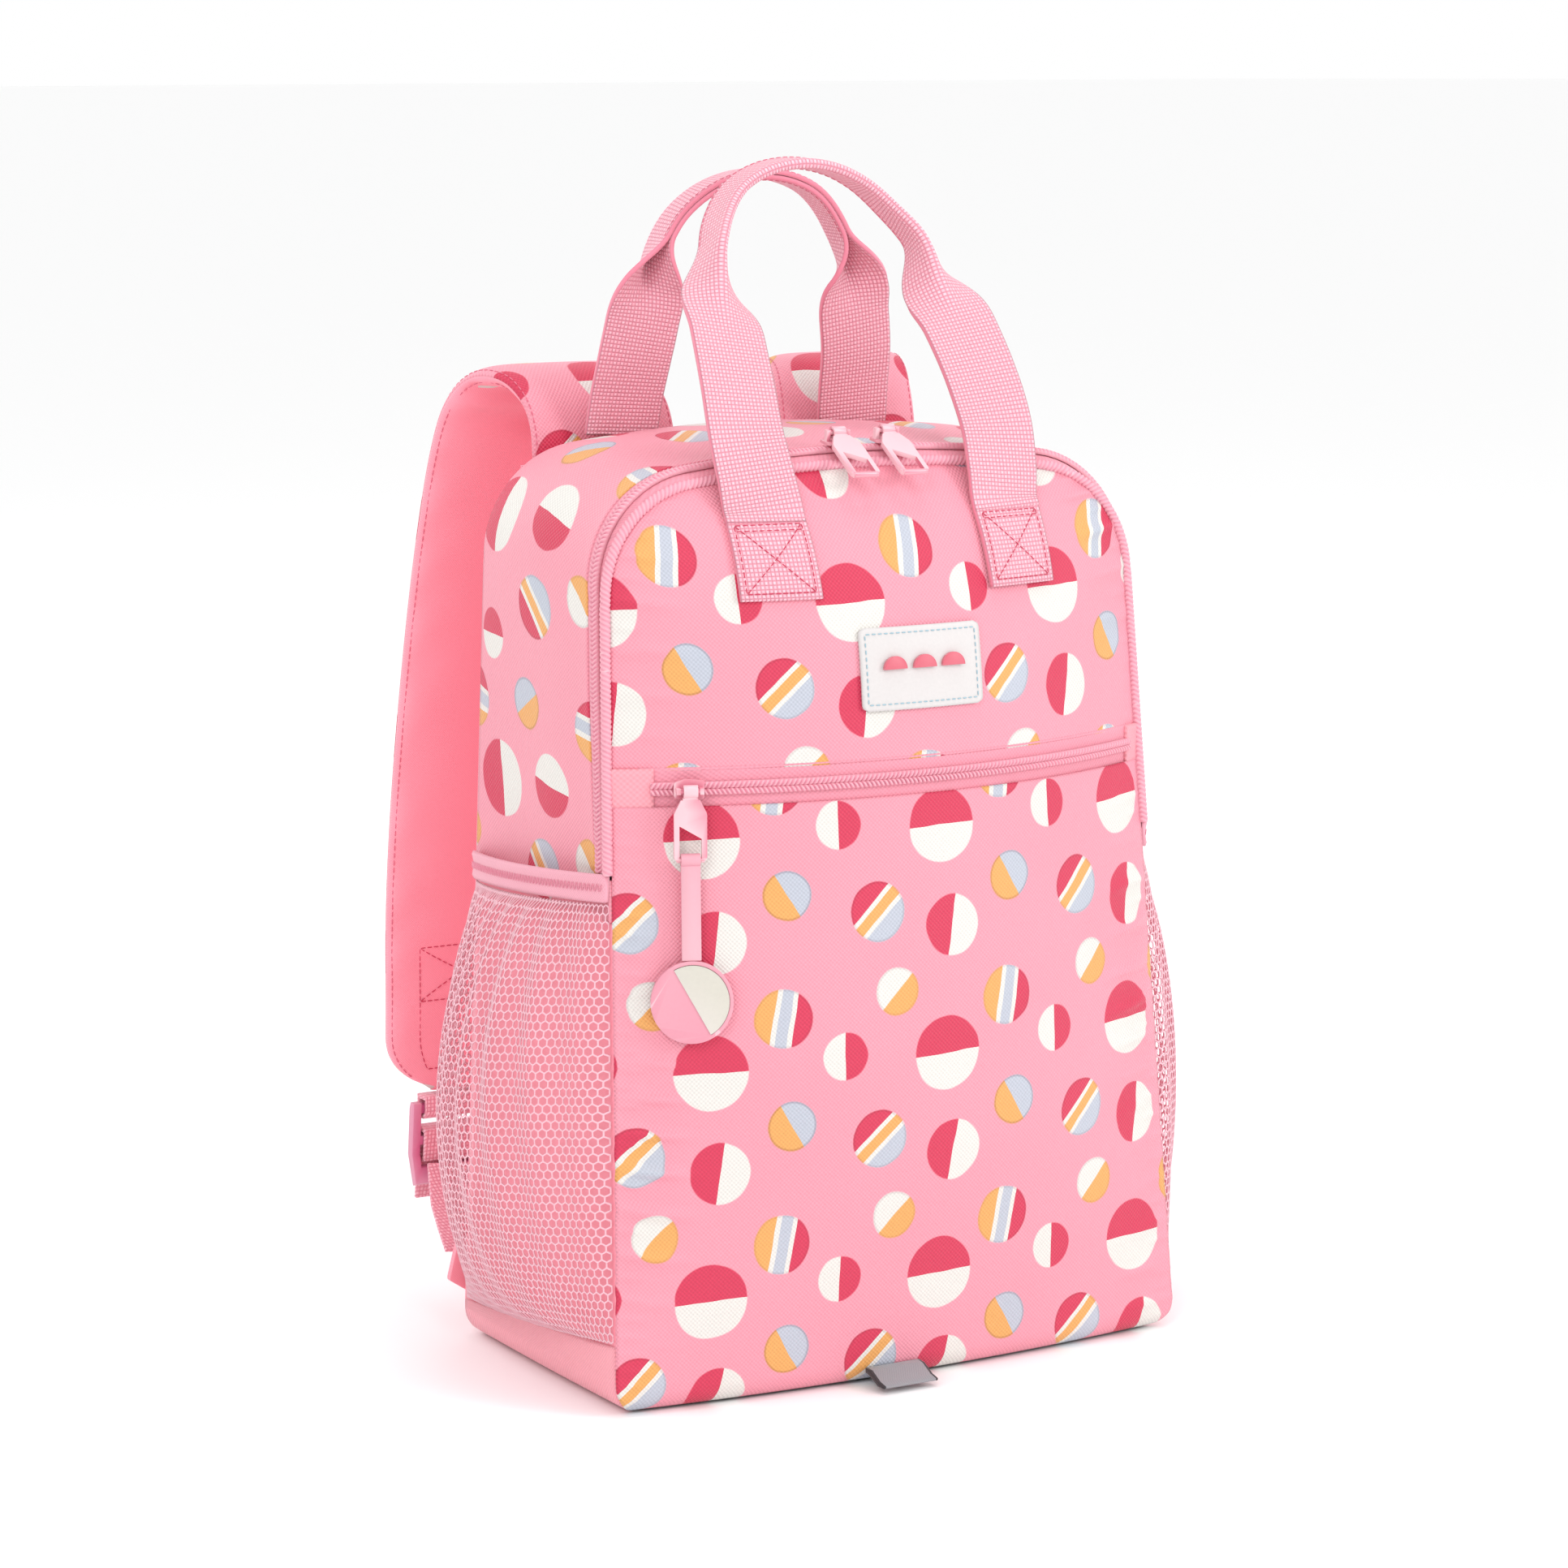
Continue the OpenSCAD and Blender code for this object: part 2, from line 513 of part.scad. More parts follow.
// Ring between two shares of the thickness, -1 at the plain side and 1 at the printed side
function strap_ring(i, low, high) = let(p = strap_path[i], t = tangent(strap_path, i),
    up = unit(cross([1, 0, 0], t)), w = strap_half_w(i), th = strap_thick(i) / 2)
    [for (c = [[-1, low * 0.9], [-0.93, low], [0.93, low], [1, low * 0.9], [1, high * 0.9],
        [0.93, high], [-0.93, high], [-1, high * 0.9]]) p + [w * c[0], 0, 0] + up * th * c[1]];
module strap_layer(low, high) { skin([for (i = [0:strap_last]) strap_ring(i, low, high)]); }
module left_strap_foam() { color("white") strap_layer(-0.66, 0.66); }
module left_strap_cover() { color("pink") strap_layer(0.75, 1); }
module left_strap_lining() { color("lightcoral") strap_layer(-1, -0.75); }
module right_strap_foam() { mirror([1, 0, 0]) left_strap_foam(); }
module right_strap_cover() { mirror([1, 0, 0]) left_strap_cover(); }
module right_strap_lining() { mirror([1, 0, 0]) left_strap_lining(); }
// Band sewn over the strap ends across the top of the back panel
module strap_yoke() {
    color("pink") translate([0, back_y + 9.4, 0]) rotate([90, 0, 0]) linear_extrude(4)
        translate([0, 334]) offset(r = 4, $fn = 24) square([184, 24], center = true);
}

// ---- ladder lock buckle at the end of each strap ----
lock_x = -109;
lock_bar = [lock_x, 103.4, 84];
lock_lean = 6;
module on_lock() { translate(lock_bar) rotate([lock_lean, 0, 0]) children(); }
// Moulded frame, bent in profile, with a window above and below its middle bar; the top bar is the pivot
lock_rail = 3.5;
module left_ladder_lock() {
    inner = lock_w - 2 * lock_rail;
    profile = [[-1.9, 2.6], [1.6, 2.6], [2.4, 0], [2.4, -20], [-3.4, -32], [-6.2, -30.4], [-1.9, -19]];
    color("orchid") on_lock() difference() {
        translate([-lock_w / 2, 0, 0]) rotate([90, 0, 90]) linear_extrude(lock_w) polygon(profile);
        translate([-inner / 2, -12, -11.6]) cube([inner, 20, 9.9]);
        translate([-inner / 2, -12, -24.6]) cube([inner, 20, 9.4]);
        translate([-inner / 2, -12, 1.7]) cube([inner, 20, 4]);
        translate([-inner / 2, -12, -4]) cube([inner, 10.3, 6]);
        translate([-inner / 2, 1.7, -4]) cube([inner, 4, 6]);
    }
}
module right_ladder_lock() { mirror([1, 0, 0]) left_ladder_lock(); }

// Webbing loop sewn into the strap's end and round the lock's top bar
loop_w = 29;
loop_r = 2.7;
module left_buckle_loop() {
    color("hotpink") translate([lock_x - loop_w / 2, 0, 0]) rotate([90, 0, 90]) linear_extrude(loop_w)
        translate([lock_bar[1], lock_bar[2]]) difference() {
            union() {
                circle(r = loop_r + 1.8, $fn = 40);
                translate([-loop_r - 1.8, 0]) square([2 * loop_r + 3.6, loop_r + 2.7]);
            }
            circle(r = loop_r, $fn = 40);
            translate([-loop_r, 0]) square([2 * loop_r, loop_r + 0.9]);
        }
}
module right_buckle_loop() { mirror([1, 0, 0]) left_buckle_loop(); }

// Adjusting webbing folded through the lower bars, with its loose tail
module left_web_wrap() {
    color("hotpink") on_lock() translate([-loop_w / 2, 0, 0]) rotate([90, 0, 90]) linear_extrude(loop_w) {
        translate([-4.2, -21.8]) square([1.9, 12]);
        translate([2.6, -21.8]) square([1.9, 12]);
        translate([-4.2, -10.2]) square([8.7, 1.9]);
        translate([2.6, -40]) rotate(5) square([1.9, 18.4]);
    }
}
module right_web_wrap() { mirror([1, 0, 0]) left_web_wrap(); }

module left_web_lower() {
    path = [[-115.5, 67.8, 31.5], [-114, 77, 37.5], [-112, 88, 45], [-110, 94.5, 53], [-109.2, 97.6, 60.6]];
    color("hotpink") skin([for (i = [0:len(path) - 1]) band_ring(path[i], tangent(path, i), [1, 0, 0],
        loop_w, -0.9, 0.9)]);
}
module right_web_lower() { mirror([1, 0, 0]) left_web_lower(); }
// Folded triangle of fabric sewn into the bottom corner of the back seam
module left_anchor_tab() {
    color("pink") translate([0, back_y + 8.4, 0]) rotate([90, 0, 0]) linear_extrude(3)
        polygon([[-half_w(14) - 4, 22], [-half_w(45) + 1, 46], [-104, 46], [-98, 20], [-112, 9]]);
}
module right_anchor_tab() { mirror([1, 0, 0]) left_anchor_tab(); }

// Small folded tab at the front hem
module hem_tab() {
    y0 = front_y(0, hem_r) - 0.3;
    color("gray") translate([-24, 0, 0]) rotate([90, 0, 90]) linear_extrude(25)
        polygon([[y0, 7.4], [y0 - 4, 7], [y0 - 10, 4], [y0 - 14, 3.2], [y0 - 14, 2.2], [y0 - 9, 2.2],
            [y0 - 3, 4.8], [y0, 5.4]]);
}

gusset();
back_panel();
back_foam();
back_lining();
seam_binding();
bottom_panel();
base_board();
front_lower_panel();
front_lower_lining();
zip_tape_rear();
zip_coil_rear();
left_mesh_pocket();
right_mesh_pocket();
left_pocket_elastic();
right_pocket_elastic();
rear_handle_ends();
hem_tab();
left_anchor_tab();
right_anchor_tab();
left_web_lower();
right_web_lower();
strap_yoke();
front_upper_panel();
front_mid_panel();
front_flap_lining();
front_piping();
zip_tape_front();
zip_coil_front();
pocket_zip_tape();
pocket_zip_coil();
pocket_zip_tabs();
label_patch();
label_emblem();
front_handle_ends();
main_slider_left();
main_slider_right();
main_puller_left();
main_puller_right();
pocket_slider();
pocket_puller();
charm_strap();
charm_disc();
charm_inlay();
front_handle_loop();
rear_handle_loop();
left_strap_foam();
left_strap_cover();
left_strap_lining();
left_buckle_loop();
left_ladder_lock();
left_web_wrap();
right_strap_foam();
right_strap_cover();
right_strap_lining();
right_buckle_loop();
right_ladder_lock();
right_web_wrap();
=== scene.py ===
import json
import math
import bpy
import numpy as np
from mathutils import Matrix, Vector

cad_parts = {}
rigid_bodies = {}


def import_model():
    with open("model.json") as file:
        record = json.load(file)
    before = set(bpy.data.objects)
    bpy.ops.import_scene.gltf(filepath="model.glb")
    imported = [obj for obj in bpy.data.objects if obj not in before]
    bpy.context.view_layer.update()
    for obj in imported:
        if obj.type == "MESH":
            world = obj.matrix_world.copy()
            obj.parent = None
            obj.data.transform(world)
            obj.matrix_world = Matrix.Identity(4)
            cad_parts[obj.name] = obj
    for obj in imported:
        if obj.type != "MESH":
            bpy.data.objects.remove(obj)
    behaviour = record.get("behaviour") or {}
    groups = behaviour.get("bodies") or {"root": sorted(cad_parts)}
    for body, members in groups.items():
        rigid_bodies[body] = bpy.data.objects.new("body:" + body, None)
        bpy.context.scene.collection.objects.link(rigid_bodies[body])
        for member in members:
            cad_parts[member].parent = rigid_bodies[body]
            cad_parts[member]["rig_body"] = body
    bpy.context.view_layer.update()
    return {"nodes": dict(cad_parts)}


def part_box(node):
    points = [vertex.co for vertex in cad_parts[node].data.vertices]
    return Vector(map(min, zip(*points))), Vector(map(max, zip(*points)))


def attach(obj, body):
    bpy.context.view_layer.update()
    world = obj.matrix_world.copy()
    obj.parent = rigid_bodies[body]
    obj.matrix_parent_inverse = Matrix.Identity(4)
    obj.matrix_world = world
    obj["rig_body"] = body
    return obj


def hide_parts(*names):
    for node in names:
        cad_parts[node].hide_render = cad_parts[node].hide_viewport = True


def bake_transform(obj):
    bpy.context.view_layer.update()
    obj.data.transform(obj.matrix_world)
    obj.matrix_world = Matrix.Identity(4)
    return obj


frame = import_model()
nodes = frame["nodes"]
mm = 0.001  # sizes below are in millimetres, and meshes are made in metres


def topOf(node):
    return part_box(node)[1].z / mm


cameraPlan = {
    "place": (-0.916, -1.5725, 0.520), "forward": (0.4920, 0.8556, -0.1610),
    "lens": 106.1, "sensor": 36, "near": 0.05, "far": 50,
}
studio = {
    "floorSize": 80.0, "floorDrop": 0.0004, "floorColour": (0.96, 0.96, 0.96, 1),
    "floorRoughness": 0.7, "skyColour": (1.0, 1.0, 1.0, 1), "skyStrength": 1.0, "aim": (0, 0, 0.2),
    "lamps": [  # place, size, power
        ((-1.6, -1.5, 1.7), 1.0, 13),
        ((1.5, -1.9, 1.2), 0.9, 19),
        ((0.1, -0.1, 2.2), 1.0, 9),
        ((-0.9, 1.9, 1.4), 1.2, 6),
    ],
}


# a camera, a wide pale floor, an even sky and four round lamps aimed at the bag
def makeStudio():
    scene = bpy.context.scene
    data = bpy.data.cameras.new("camera")
    data.lens, data.sensor_width = cameraPlan["lens"], cameraPlan["sensor"]
    data.clip_start, data.clip_end = cameraPlan["near"], cameraPlan["far"]
    camera = bpy.data.objects.new("camera", data)
    scene.collection.objects.link(camera)
    turn = Vector(cameraPlan["forward"]).normalized().to_track_quat("-Z", "Y")
    camera.matrix_world = Matrix.Translation(cameraPlan["place"]) @ turn.to_matrix().to_4x4()
    scene.camera = camera
    half, low = studio["floorSize"] / 2, -studio["floorDrop"]
    mesh = bpy.data.meshes.new("floor")
    corners = [(-half, -half, low), (half, -half, low), (half, half, low), (-half, half, low)]
    mesh.from_pydata(corners, [], [(0, 1, 2, 3)])
    floor = bpy.data.objects.new("floor", mesh)
    scene.collection.objects.link(floor)
    paper = bpy.data.materials.new("floorPaint")
    paper.use_nodes = True
    shader = paper.node_tree.nodes["Principled BSDF"]
    shader.inputs["Base Color"].default_value = studio["floorColour"]
    shader.inputs["Roughness"].default_value = studio["floorRoughness"]
    mesh.materials.append(paper)
    world = bpy.data.worlds.new("studio")
    world.use_nodes = True
    sky = world.node_tree.nodes["Background"]
    sky.inputs["Color"].default_value = studio["skyColour"]
    sky.inputs["Strength"].default_value = studio["skyStrength"]
    scene.world = world
    scene.view_settings.view_transform = "Standard"
    for place, size, power in studio["lamps"]:
        lamp = bpy.data.lights.new("softbox", "AREA")
        lamp.shape, lamp.size, lamp.energy = "DISK", size, power
        holder = bpy.data.objects.new("softbox", lamp)
        scene.collection.objects.link(holder)
        turn = (Vector(studio["aim"]) - Vector(place)).to_track_quat("-Z", "Y")
        holder.matrix_world = Matrix.Translation(place) @ turn.to_matrix().to_4x4()


makeStudio()
print("studio ready")

bag = {
    "halfWidth": 128, "sideTaper": 0.039, "topRadius": 650, "cornerRadius": 42, "footRadius": 12,
    "hemRadius": 9, "frontLean": 0.082, "frontBase": 75, "hemSwell": 8, "frontSwell": 30,
    "riseHeight": 180, "crownHeight": 240, "backY": 57, "clothThick": 1.5,
    "frontTop": topOf("front_upper_panel") + 0.2,
    "backTop": topOf("back_panel") + 0.6,
    "foldHeight": topOf("front_lower_panel") + 0.5,
}
bandLow = topOf("front_mid_panel") + 0.3
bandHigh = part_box("front_upper_panel")[0].z / mm - 0.3


def halfWidth(z):
    return bag["halfWidth"] - bag["sideTaper"] * z


# the front seam leans back as it rises, and rounds under the hem
def seamY(z):
    hem = bag["hemRadius"]
    low = np.clip(hem - z, 0, hem)
    return bag["frontLean"] * z - bag["frontBase"] + hem - np.sqrt(hem**2 - low**2)


# the top edge is a long arc that runs smoothly into the two corner arcs
def topArcs(top):
    corner, big = bag["cornerRadius"], bag["topRadius"]
    cornerX = halfWidth(top - corner) - corner
    arcZ = top - big
    cornerZ = arcZ + math.sqrt((big - corner) ** 2 - cornerX**2)
    return cornerX, arcZ, cornerZ, math.asin(cornerX / (big - corner))


# half the panel's width: top arc, then corner arc, then straight side, then foot arc
def edgeX(z, top):
    corner, big, foot = bag["cornerRadius"], bag["topRadius"], bag["footRadius"]
    cornerX, arcZ, cornerZ, lean = topArcs(top)
    z = np.asarray(z, float)
    onTop = np.sqrt(np.maximum(1, big**2 - (z - arcZ) ** 2))
    onCorner = cornerX + np.sqrt(np.maximum(0, corner**2 - (z - cornerZ) ** 2))
    onFoot = halfWidth(foot) - foot + np.sqrt(np.maximum(0, foot**2 - (foot - z) ** 2))
    side = np.where(z < foot, onFoot, halfWidth(z))
    side = np.where(z > cornerZ, onCorner, side)
    return np.where(z > cornerZ + corner * math.cos(lean), onTop, side)


# how far the middle of the front stands before its seam: a quarter sine, full, then a quartic fall
def swell(z):
    z = np.asarray(z, float)
    full, low, crown = bag["frontSwell"], bag["hemSwell"], bag["crownHeight"]
    rising = low + (full - low) * np.sin(np.pi / 2 * np.clip(z / bag["riseHeight"], 0, 1))
    fallen = np.clip((z - crown) / (bag["frontTop"] - crown), 0, 1)
    return np.maximum(0.05, np.where(z > crown, full * (1 - fallen**4), rising))


# each level row of the front is a circle arc through both seams
def rowRadius(z):
    return (edgeX(z, bag["frontTop"]) ** 2 + swell(z) ** 2) / (2 * swell(z))


def frontY(x, z):
    radius = rowRadius(z)
    return seamY(z) - np.sqrt(np.maximum(radius**2 - x**2, 0)) + radius - swell(z)


# outward normal of the front, from the slopes of frontY
def frontNormal(x, z):
    slopeX = (frontY(x + 0.5, z) - frontY(x - 0.5, z))
    slopeZ = (frontY(x, z + 0.5) - frontY(x, z - 0.5))
    normal = np.stack([slopeX, -np.ones_like(slopeX), slopeZ], -1)
    return normal / np.linalg.norm(normal, axis=-1, keepdims=True)


# stations round the top outline, left foot to right foot: x, z, normal x, normal z
def upperPath(top, sideZ, cornerCount=14, topCount=44):
    cornerX, arcZ, cornerZ, lean = topArcs(top)
    corner, big = bag["cornerRadius"], bag["topRadius"]
    left = np.stack([-halfWidth(sideZ), sideZ, -np.ones_like(sideZ), 0 * sideZ], -1)
    turn = np.pi - (np.pi / 2 - lean) * np.arange(cornerCount + 1) / cornerCount
    arc = np.stack([-cornerX + corner * np.cos(turn), cornerZ + corner * np.sin(turn),
                    np.cos(turn), np.sin(turn)], -1)
    sweepAngle = np.pi / 2 + lean * np.linspace(1, 0, topCount // 2 + 1)[1:]
    ridge = np.stack([big * np.cos(sweepAngle), arcZ + big * np.sin(sweepAngle),
                      np.cos(sweepAngle), np.sin(sweepAngle)], -1)
    half = np.concatenate([left, arc, ridge])
    other = half[-2::-1] * [-1, 1, -1, 1]
    return np.concatenate([half, other])


# how far the gusset's cloth bellies out: over the top, and on the sides from a height up
puffPlan = {"top": 8, "side": 4.5, "sideFrom": 215, "sideRise": 60}


# point on the gusset, d behind the front seam, pushed out by its puff
def sidePoint(front, back, d, out):
    front, back = front[:, None, :], back[:, None, :]
    height = front[..., 1]
    a = np.stack([front[..., 0], seamY(height), height], -1)
    b = np.stack([back[..., 0], np.full_like(height, bag["backY"]), back[..., 1]], -1)
    share = d / np.linalg.norm(b - a, axis=-1)
    wave = np.sin(np.pi * np.clip(share, 0, 1))
    top = np.maximum(0, front[..., 3])
    rise = np.clip((height - puffPlan["sideFrom"]) / puffPlan["sideRise"], 0, 1)
    puff = puffPlan["top"] * top * wave**0.3 + puffPlan["side"] * (1 - top) * wave**0.8 * rise
    puff = np.where(front[..., 3] < -0.2, 0, puff)
    normal = np.stack([front[..., 2], 0 * height, front[..., 3]], -1)
    return a + (b - a) * share[..., None] + normal * (out + puff)[..., None]


def sideLength(front, back):
    return np.sqrt((back[:, 0] - front[:, 0]) ** 2 + (bag["backY"] - seamY(front[:, 1])) ** 2
                   + (back[:, 1] - front[:, 1]) ** 2)


# heights on the front seam, and the heights level with them on the back seam
cornerFront = topArcs(bag["frontTop"])[2]
cornerBack = topArcs(bag["backTop"])[2]
frontKnots = [27, 70, 115, 160, 204.9, 206.1, 240, 275, cornerFront - 0.5]
backKnots = [14.5, 64, 112, 160, 204.9, 206.1, 241, 278, cornerBack - 0.5]


# the gusset's front and back stations, level with each other, from a height up and over the top
def gussetPaths(lowest, count):
    frontZ = np.linspace(lowest, cornerFront - 0.5, count)
    backZ = np.interp(frontZ, frontKnots, backKnots)
    return upperPath(bag["frontTop"], frontZ), upperPath(bag["backTop"], backZ)


# points in millimetres, faces and a cloth layout become a smooth-shaded object
def makePiece(name, points, faces, uv=None, uvFaces=None):
    mesh = bpy.data.meshes.new(name)
    mesh.from_pydata((np.asarray(points) * mm).tolist(), [], [list(map(int, f)) for f in faces])
    if uv is not None:
        layer = mesh.uv_layers.new(name="cloth")
        corner = np.concatenate([np.asarray(f, int) for f in uvFaces])
        layer.data.foreach_set("uv", np.asarray(uv, np.float32)[corner].ravel())
    mesh.shade_smooth()
    mesh.update()
    piece = bpy.data.objects.new(name, mesh)
    bpy.context.scene.collection.objects.link(piece)
    return piece


# faces of a grid; a wrapped direction joins its last line to its first
def gridFaces(rows, columns, wrapRows=False, wrapColumns=False):
    index = np.arange(rows * columns).reshape(rows, columns)
    if wrapRows:
        index = np.concatenate([index, index[:1]], 0)
    if wrapColumns:
        index = np.concatenate([index, index[:, :1]], 1)
    return np.stack([index[:-1, :-1], index[:-1, 1:], index[1:, 1:], index[1:, :-1]],
                    -1).reshape(-1, 4)


# twice the face areas as vectors, and the face centres
def facing(points, faces):
    a, b, c, d = (points[faces[:, k]] for k in range(4))
    return np.cross(c - a, d - b), (a + b + c + d) / 4


# a grid of points becomes a skin that faces away from a point, or outwards if it is a tube
def surface(name, grid, uv=None, wrapRows=False, wrapColumns=False, away=(0, 0, 180), ends=False):
    rows, columns = grid.shape[:2]
    points = grid.reshape(-1, 3)
    faces = gridFaces(rows, columns, wrapRows, wrapColumns)
    uvFaces = gridFaces(rows + wrapRows, columns + wrapColumns) if uv is not None else None
    normal, centre = facing(points, faces)
    tube = wrapRows or wrapColumns
    seenFrom = points.mean(0) if away is None else np.array(away)
    turned = (normal * (centre - (0 if tube else seenFrom))).sum() < 0
    if turned:
        faces = faces[:, ::-1]
        uvFaces = uvFaces[:, ::-1] if uv is not None else None
    faces, uvFaces = list(faces), (list(uvFaces) if uv is not None else None)
    if ends:
        first, last = np.arange(columns), np.arange(columns) + (rows - 1) * columns
        faces += [first[::-1], last] if not turned else [first, last[::-1]]
        if uv is not None:
            uvFaces += [np.arange(columns), np.arange(columns) + (rows - 1) * (columns + 1)]
    return makePiece(name, points, faces, None if uv is None else uv.reshape(-1, 2), uvFaces)


# cloth given its thickness, inwards from the skin or evenly to both sides
def thicken(piece, thickness, inward=True):
    wall = piece.modifiers.new("wall", "SOLIDIFY")
    wall.thickness, wall.offset = thickness * mm, -1 if inward else 0
    return piece


# Catmull-Rom spline through given points, then even steps along its length
def smoothPath(points, count):
    p = np.array(points, float)
    p = np.vstack([2 * p[0] - p[1], p, 2 * p[-1] - p[-2]])
    t = np.linspace(0, len(points) - 1, 24 * len(points))
    i = np.minimum(t.astype(int), len(points) - 2)
    f = (t - i)[:, None]
    a, b, c, d = p[i], p[i + 1], p[i + 2], p[i + 3]
    return evenly(0.5 * (2 * b + (c - a) * f + (2 * a - 5 * b + 4 * c - d) * f**2
                         + (3 * b - a - 3 * c + d) * f**3), count)


def lengthAlong(path):
    return np.concatenate([[0], np.cumsum(np.linalg.norm(np.diff(path, axis=0), axis=1))])


def evenly(path, count):
    along = lengthAlong(path)
    stops = np.linspace(0, along[-1], count)
    return np.stack([np.interp(stops, along, path[:, k]) for k in range(path.shape[1])], -1)


def unit(v):
    return v / np.maximum(np.linalg.norm(v, axis=-1, keepdims=True), 1e-9)


def tangents(path):
    return unit(np.gradient(path, axis=0))


# one small shape set down many times: its axes go along, across and up at each place
def repeated(shape, faces, places, along, up):
    along = unit(along)
    across = unit(np.cross(up, along))
    up = np.cross(along, across)
    axes = np.stack([along, across, up], 1)
    points = places[:, None, :] + np.einsum("vk,nkc->nvc", shape, axes)
    shift = np.arange(len(places))[:, None, None] * len(shape)
    return points.reshape(-1, 3), (faces[None] + shift).reshape(-1, faces.shape[1])


# a thread's short stitch: a six-sided spindle with closed tips
def spindle(length, radius, sides=6):
    turn = np.arange(sides) * 2 * np.pi / sides
    rings = [(-0.5, 0.35), (-0.3, 0.9), (0.3, 0.9), (0.5, 0.35)]
    points = np.concatenate([np.stack([np.full(sides, a * length), b * radius * np.cos(turn),
                                       b * radius * 0.8 * np.sin(turn)], -1) for a, b in rings])
    return points, gridFaces(len(rings), sides, wrapColumns=True)


thread = {"length": 2.2, "gap": 0.8, "radius": 0.25, "lift": 0.12, "sight": 0.4}


# rows of stitches along paths, each path given with its surface normals
def stitches(name, rows, length=thread["length"], gap=thread["gap"], radius=thread["radius"]):
    shape, faces = spindle(length, radius)
    allPoints, allFaces, used = [], [], 0
    for path, normal in rows:
        along = lengthAlong(path)
        count = max(1, int(round(along[-1] / (length + gap))))
        stops = (np.arange(count) + 0.5) * along[-1] / count

        def at(track, shift=0.0):
            return np.stack([np.interp(stops + shift, along, track[:, k]) for k in range(3)], -1)
        ahead = at(path, thread["sight"]) - at(path, -thread["sight"])
        up = unit(at(normal))
        points, quads = repeated(shape, faces, at(path) + thread["lift"] * up, ahead, up)
        allPoints.append(points)
        allFaces.append(quads + used)
        used += len(points)
    return makePiece(name, np.concatenate(allPoints), np.concatenate(allFaces))


# one material, the body the piece rides on, its slot (not used) and the CAD nodes it stands for
def finished(piece, body, slot, material, *replaced):
    piece.data.materials.clear()
    piece.data.materials.append(material)
    if body:
        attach(piece, body)
    if replaced:
        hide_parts(*replaced)
    return piece


edging = {"merge": 0.01, "segments": 2, "angle": 35, "split": 50}  # millimetres, count, degrees


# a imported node's own shape with its edges rounded
def rounded(name, node, width):
    piece = bpy.data.objects.new(name, nodes[node].data.copy())
    bpy.context.scene.collection.objects.link(piece)
    merge = piece.modifiers.new("merge", "WELD")
    merge.merge_threshold = edging["merge"] * mm
    bevel = piece.modifiers.new("bevel", "BEVEL")
    bevel.width, bevel.segments = width * mm, edging["segments"]
    bevel.limit_method, bevel.angle_limit = "ANGLE", math.radians(edging["angle"])
    piece.data.shade_smooth()
    corner = piece.modifiers.new("corner", "EDGE_SPLIT")
    corner.split_angle = math.radians(edging["split"])
    return piece


lightGain = 1.28  # how much brighter than its own colour a front face looks in this studio


# a colour as it should look in the studio light, from 0 to 255, as the paint that looks so;
# pieces seen mostly in shade are given more than 255, to come out bright enough
def rgb(red, green, blue):
    def linear(c):
        c = c / 255
        return (c / 12.92 if c <= 0.04045 else ((c + 0.055) / 1.055) ** 2.4) / lightGain
    return (linear(red), linear(green), linear(blue), 1)


# a node with its settings, and its inputs linked or given a value
def addNode(tree, kind, inputs=None, **settings):
    made = tree.nodes.new(kind)
    for name, value in settings.items():
        setattr(made, name, value)
    for name, value in (inputs or {}).items():
        if isinstance(value, bpy.types.NodeSocket):
            tree.links.new(value, made.inputs[name])
        else:
            made.inputs[name].default_value = value
    return made


def calc(tree, operation, a, b=0.0, c=0.0):
    return addNode(tree, "ShaderNodeMath", {0: a, 1: b, 2: c}, operation=operation).outputs[0]


def vcalc(tree, operation, a, b=(0, 0, 0)):
    made = addNode(tree, "ShaderNodeVectorMath", {0: a, 1: b}, operation=operation)
    return made.outputs["Value" if operation == "LENGTH" else "Vector"]


def mixColour(tree, share, a, b, kind="MIX"):
    made = addNode(tree, "ShaderNodeMix", {0: share, 6: a, 7: b}, data_type="RGBA",
                   blend_type=kind)
    return made.outputs[2]


def paint(tree, base):
    source = addNode(tree, "ShaderNodeRGB").outputs[0]
    source.default_value = base
    return source


# a node group with its sockets, and its input and output nodes' sockets
def newGroup(name, inputs, outputs):
    tree = bpy.data.node_groups.new(name, "ShaderNodeTree")
    for label, kind, value in inputs:
        socket = tree.interface.new_socket(label, in_out="INPUT", socket_type=kind)
        if value is not None:
            socket.default_value = value
    for label, kind in outputs:
        tree.interface.new_socket(label, in_out="OUTPUT", socket_type=kind)
    return tree, tree.nodes.new("NodeGroupInput").outputs, tree.nodes.new("NodeGroupOutput").inputs


number, vector, colour = "NodeSocketFloat", "NodeSocketVector", "NodeSocketColor"


# a sine wave across and a sine wave along, each with one hump to a thread
def threadWaves(tree, given):
    place = addNode(tree, "ShaderNodeVectorMath", {0: given["Vector"]}, operation="SCALE")
    tree.links.new(calc(tree, "DIVIDE", math.pi, given["Pitch"]), place.inputs["Scale"])
    split = addNode(tree, "ShaderNodeSeparateXYZ", {0: place.outputs[0]}).outputs
    return calc(tree, "SINE", split[0]), calc(tree, "SINE", split[1])


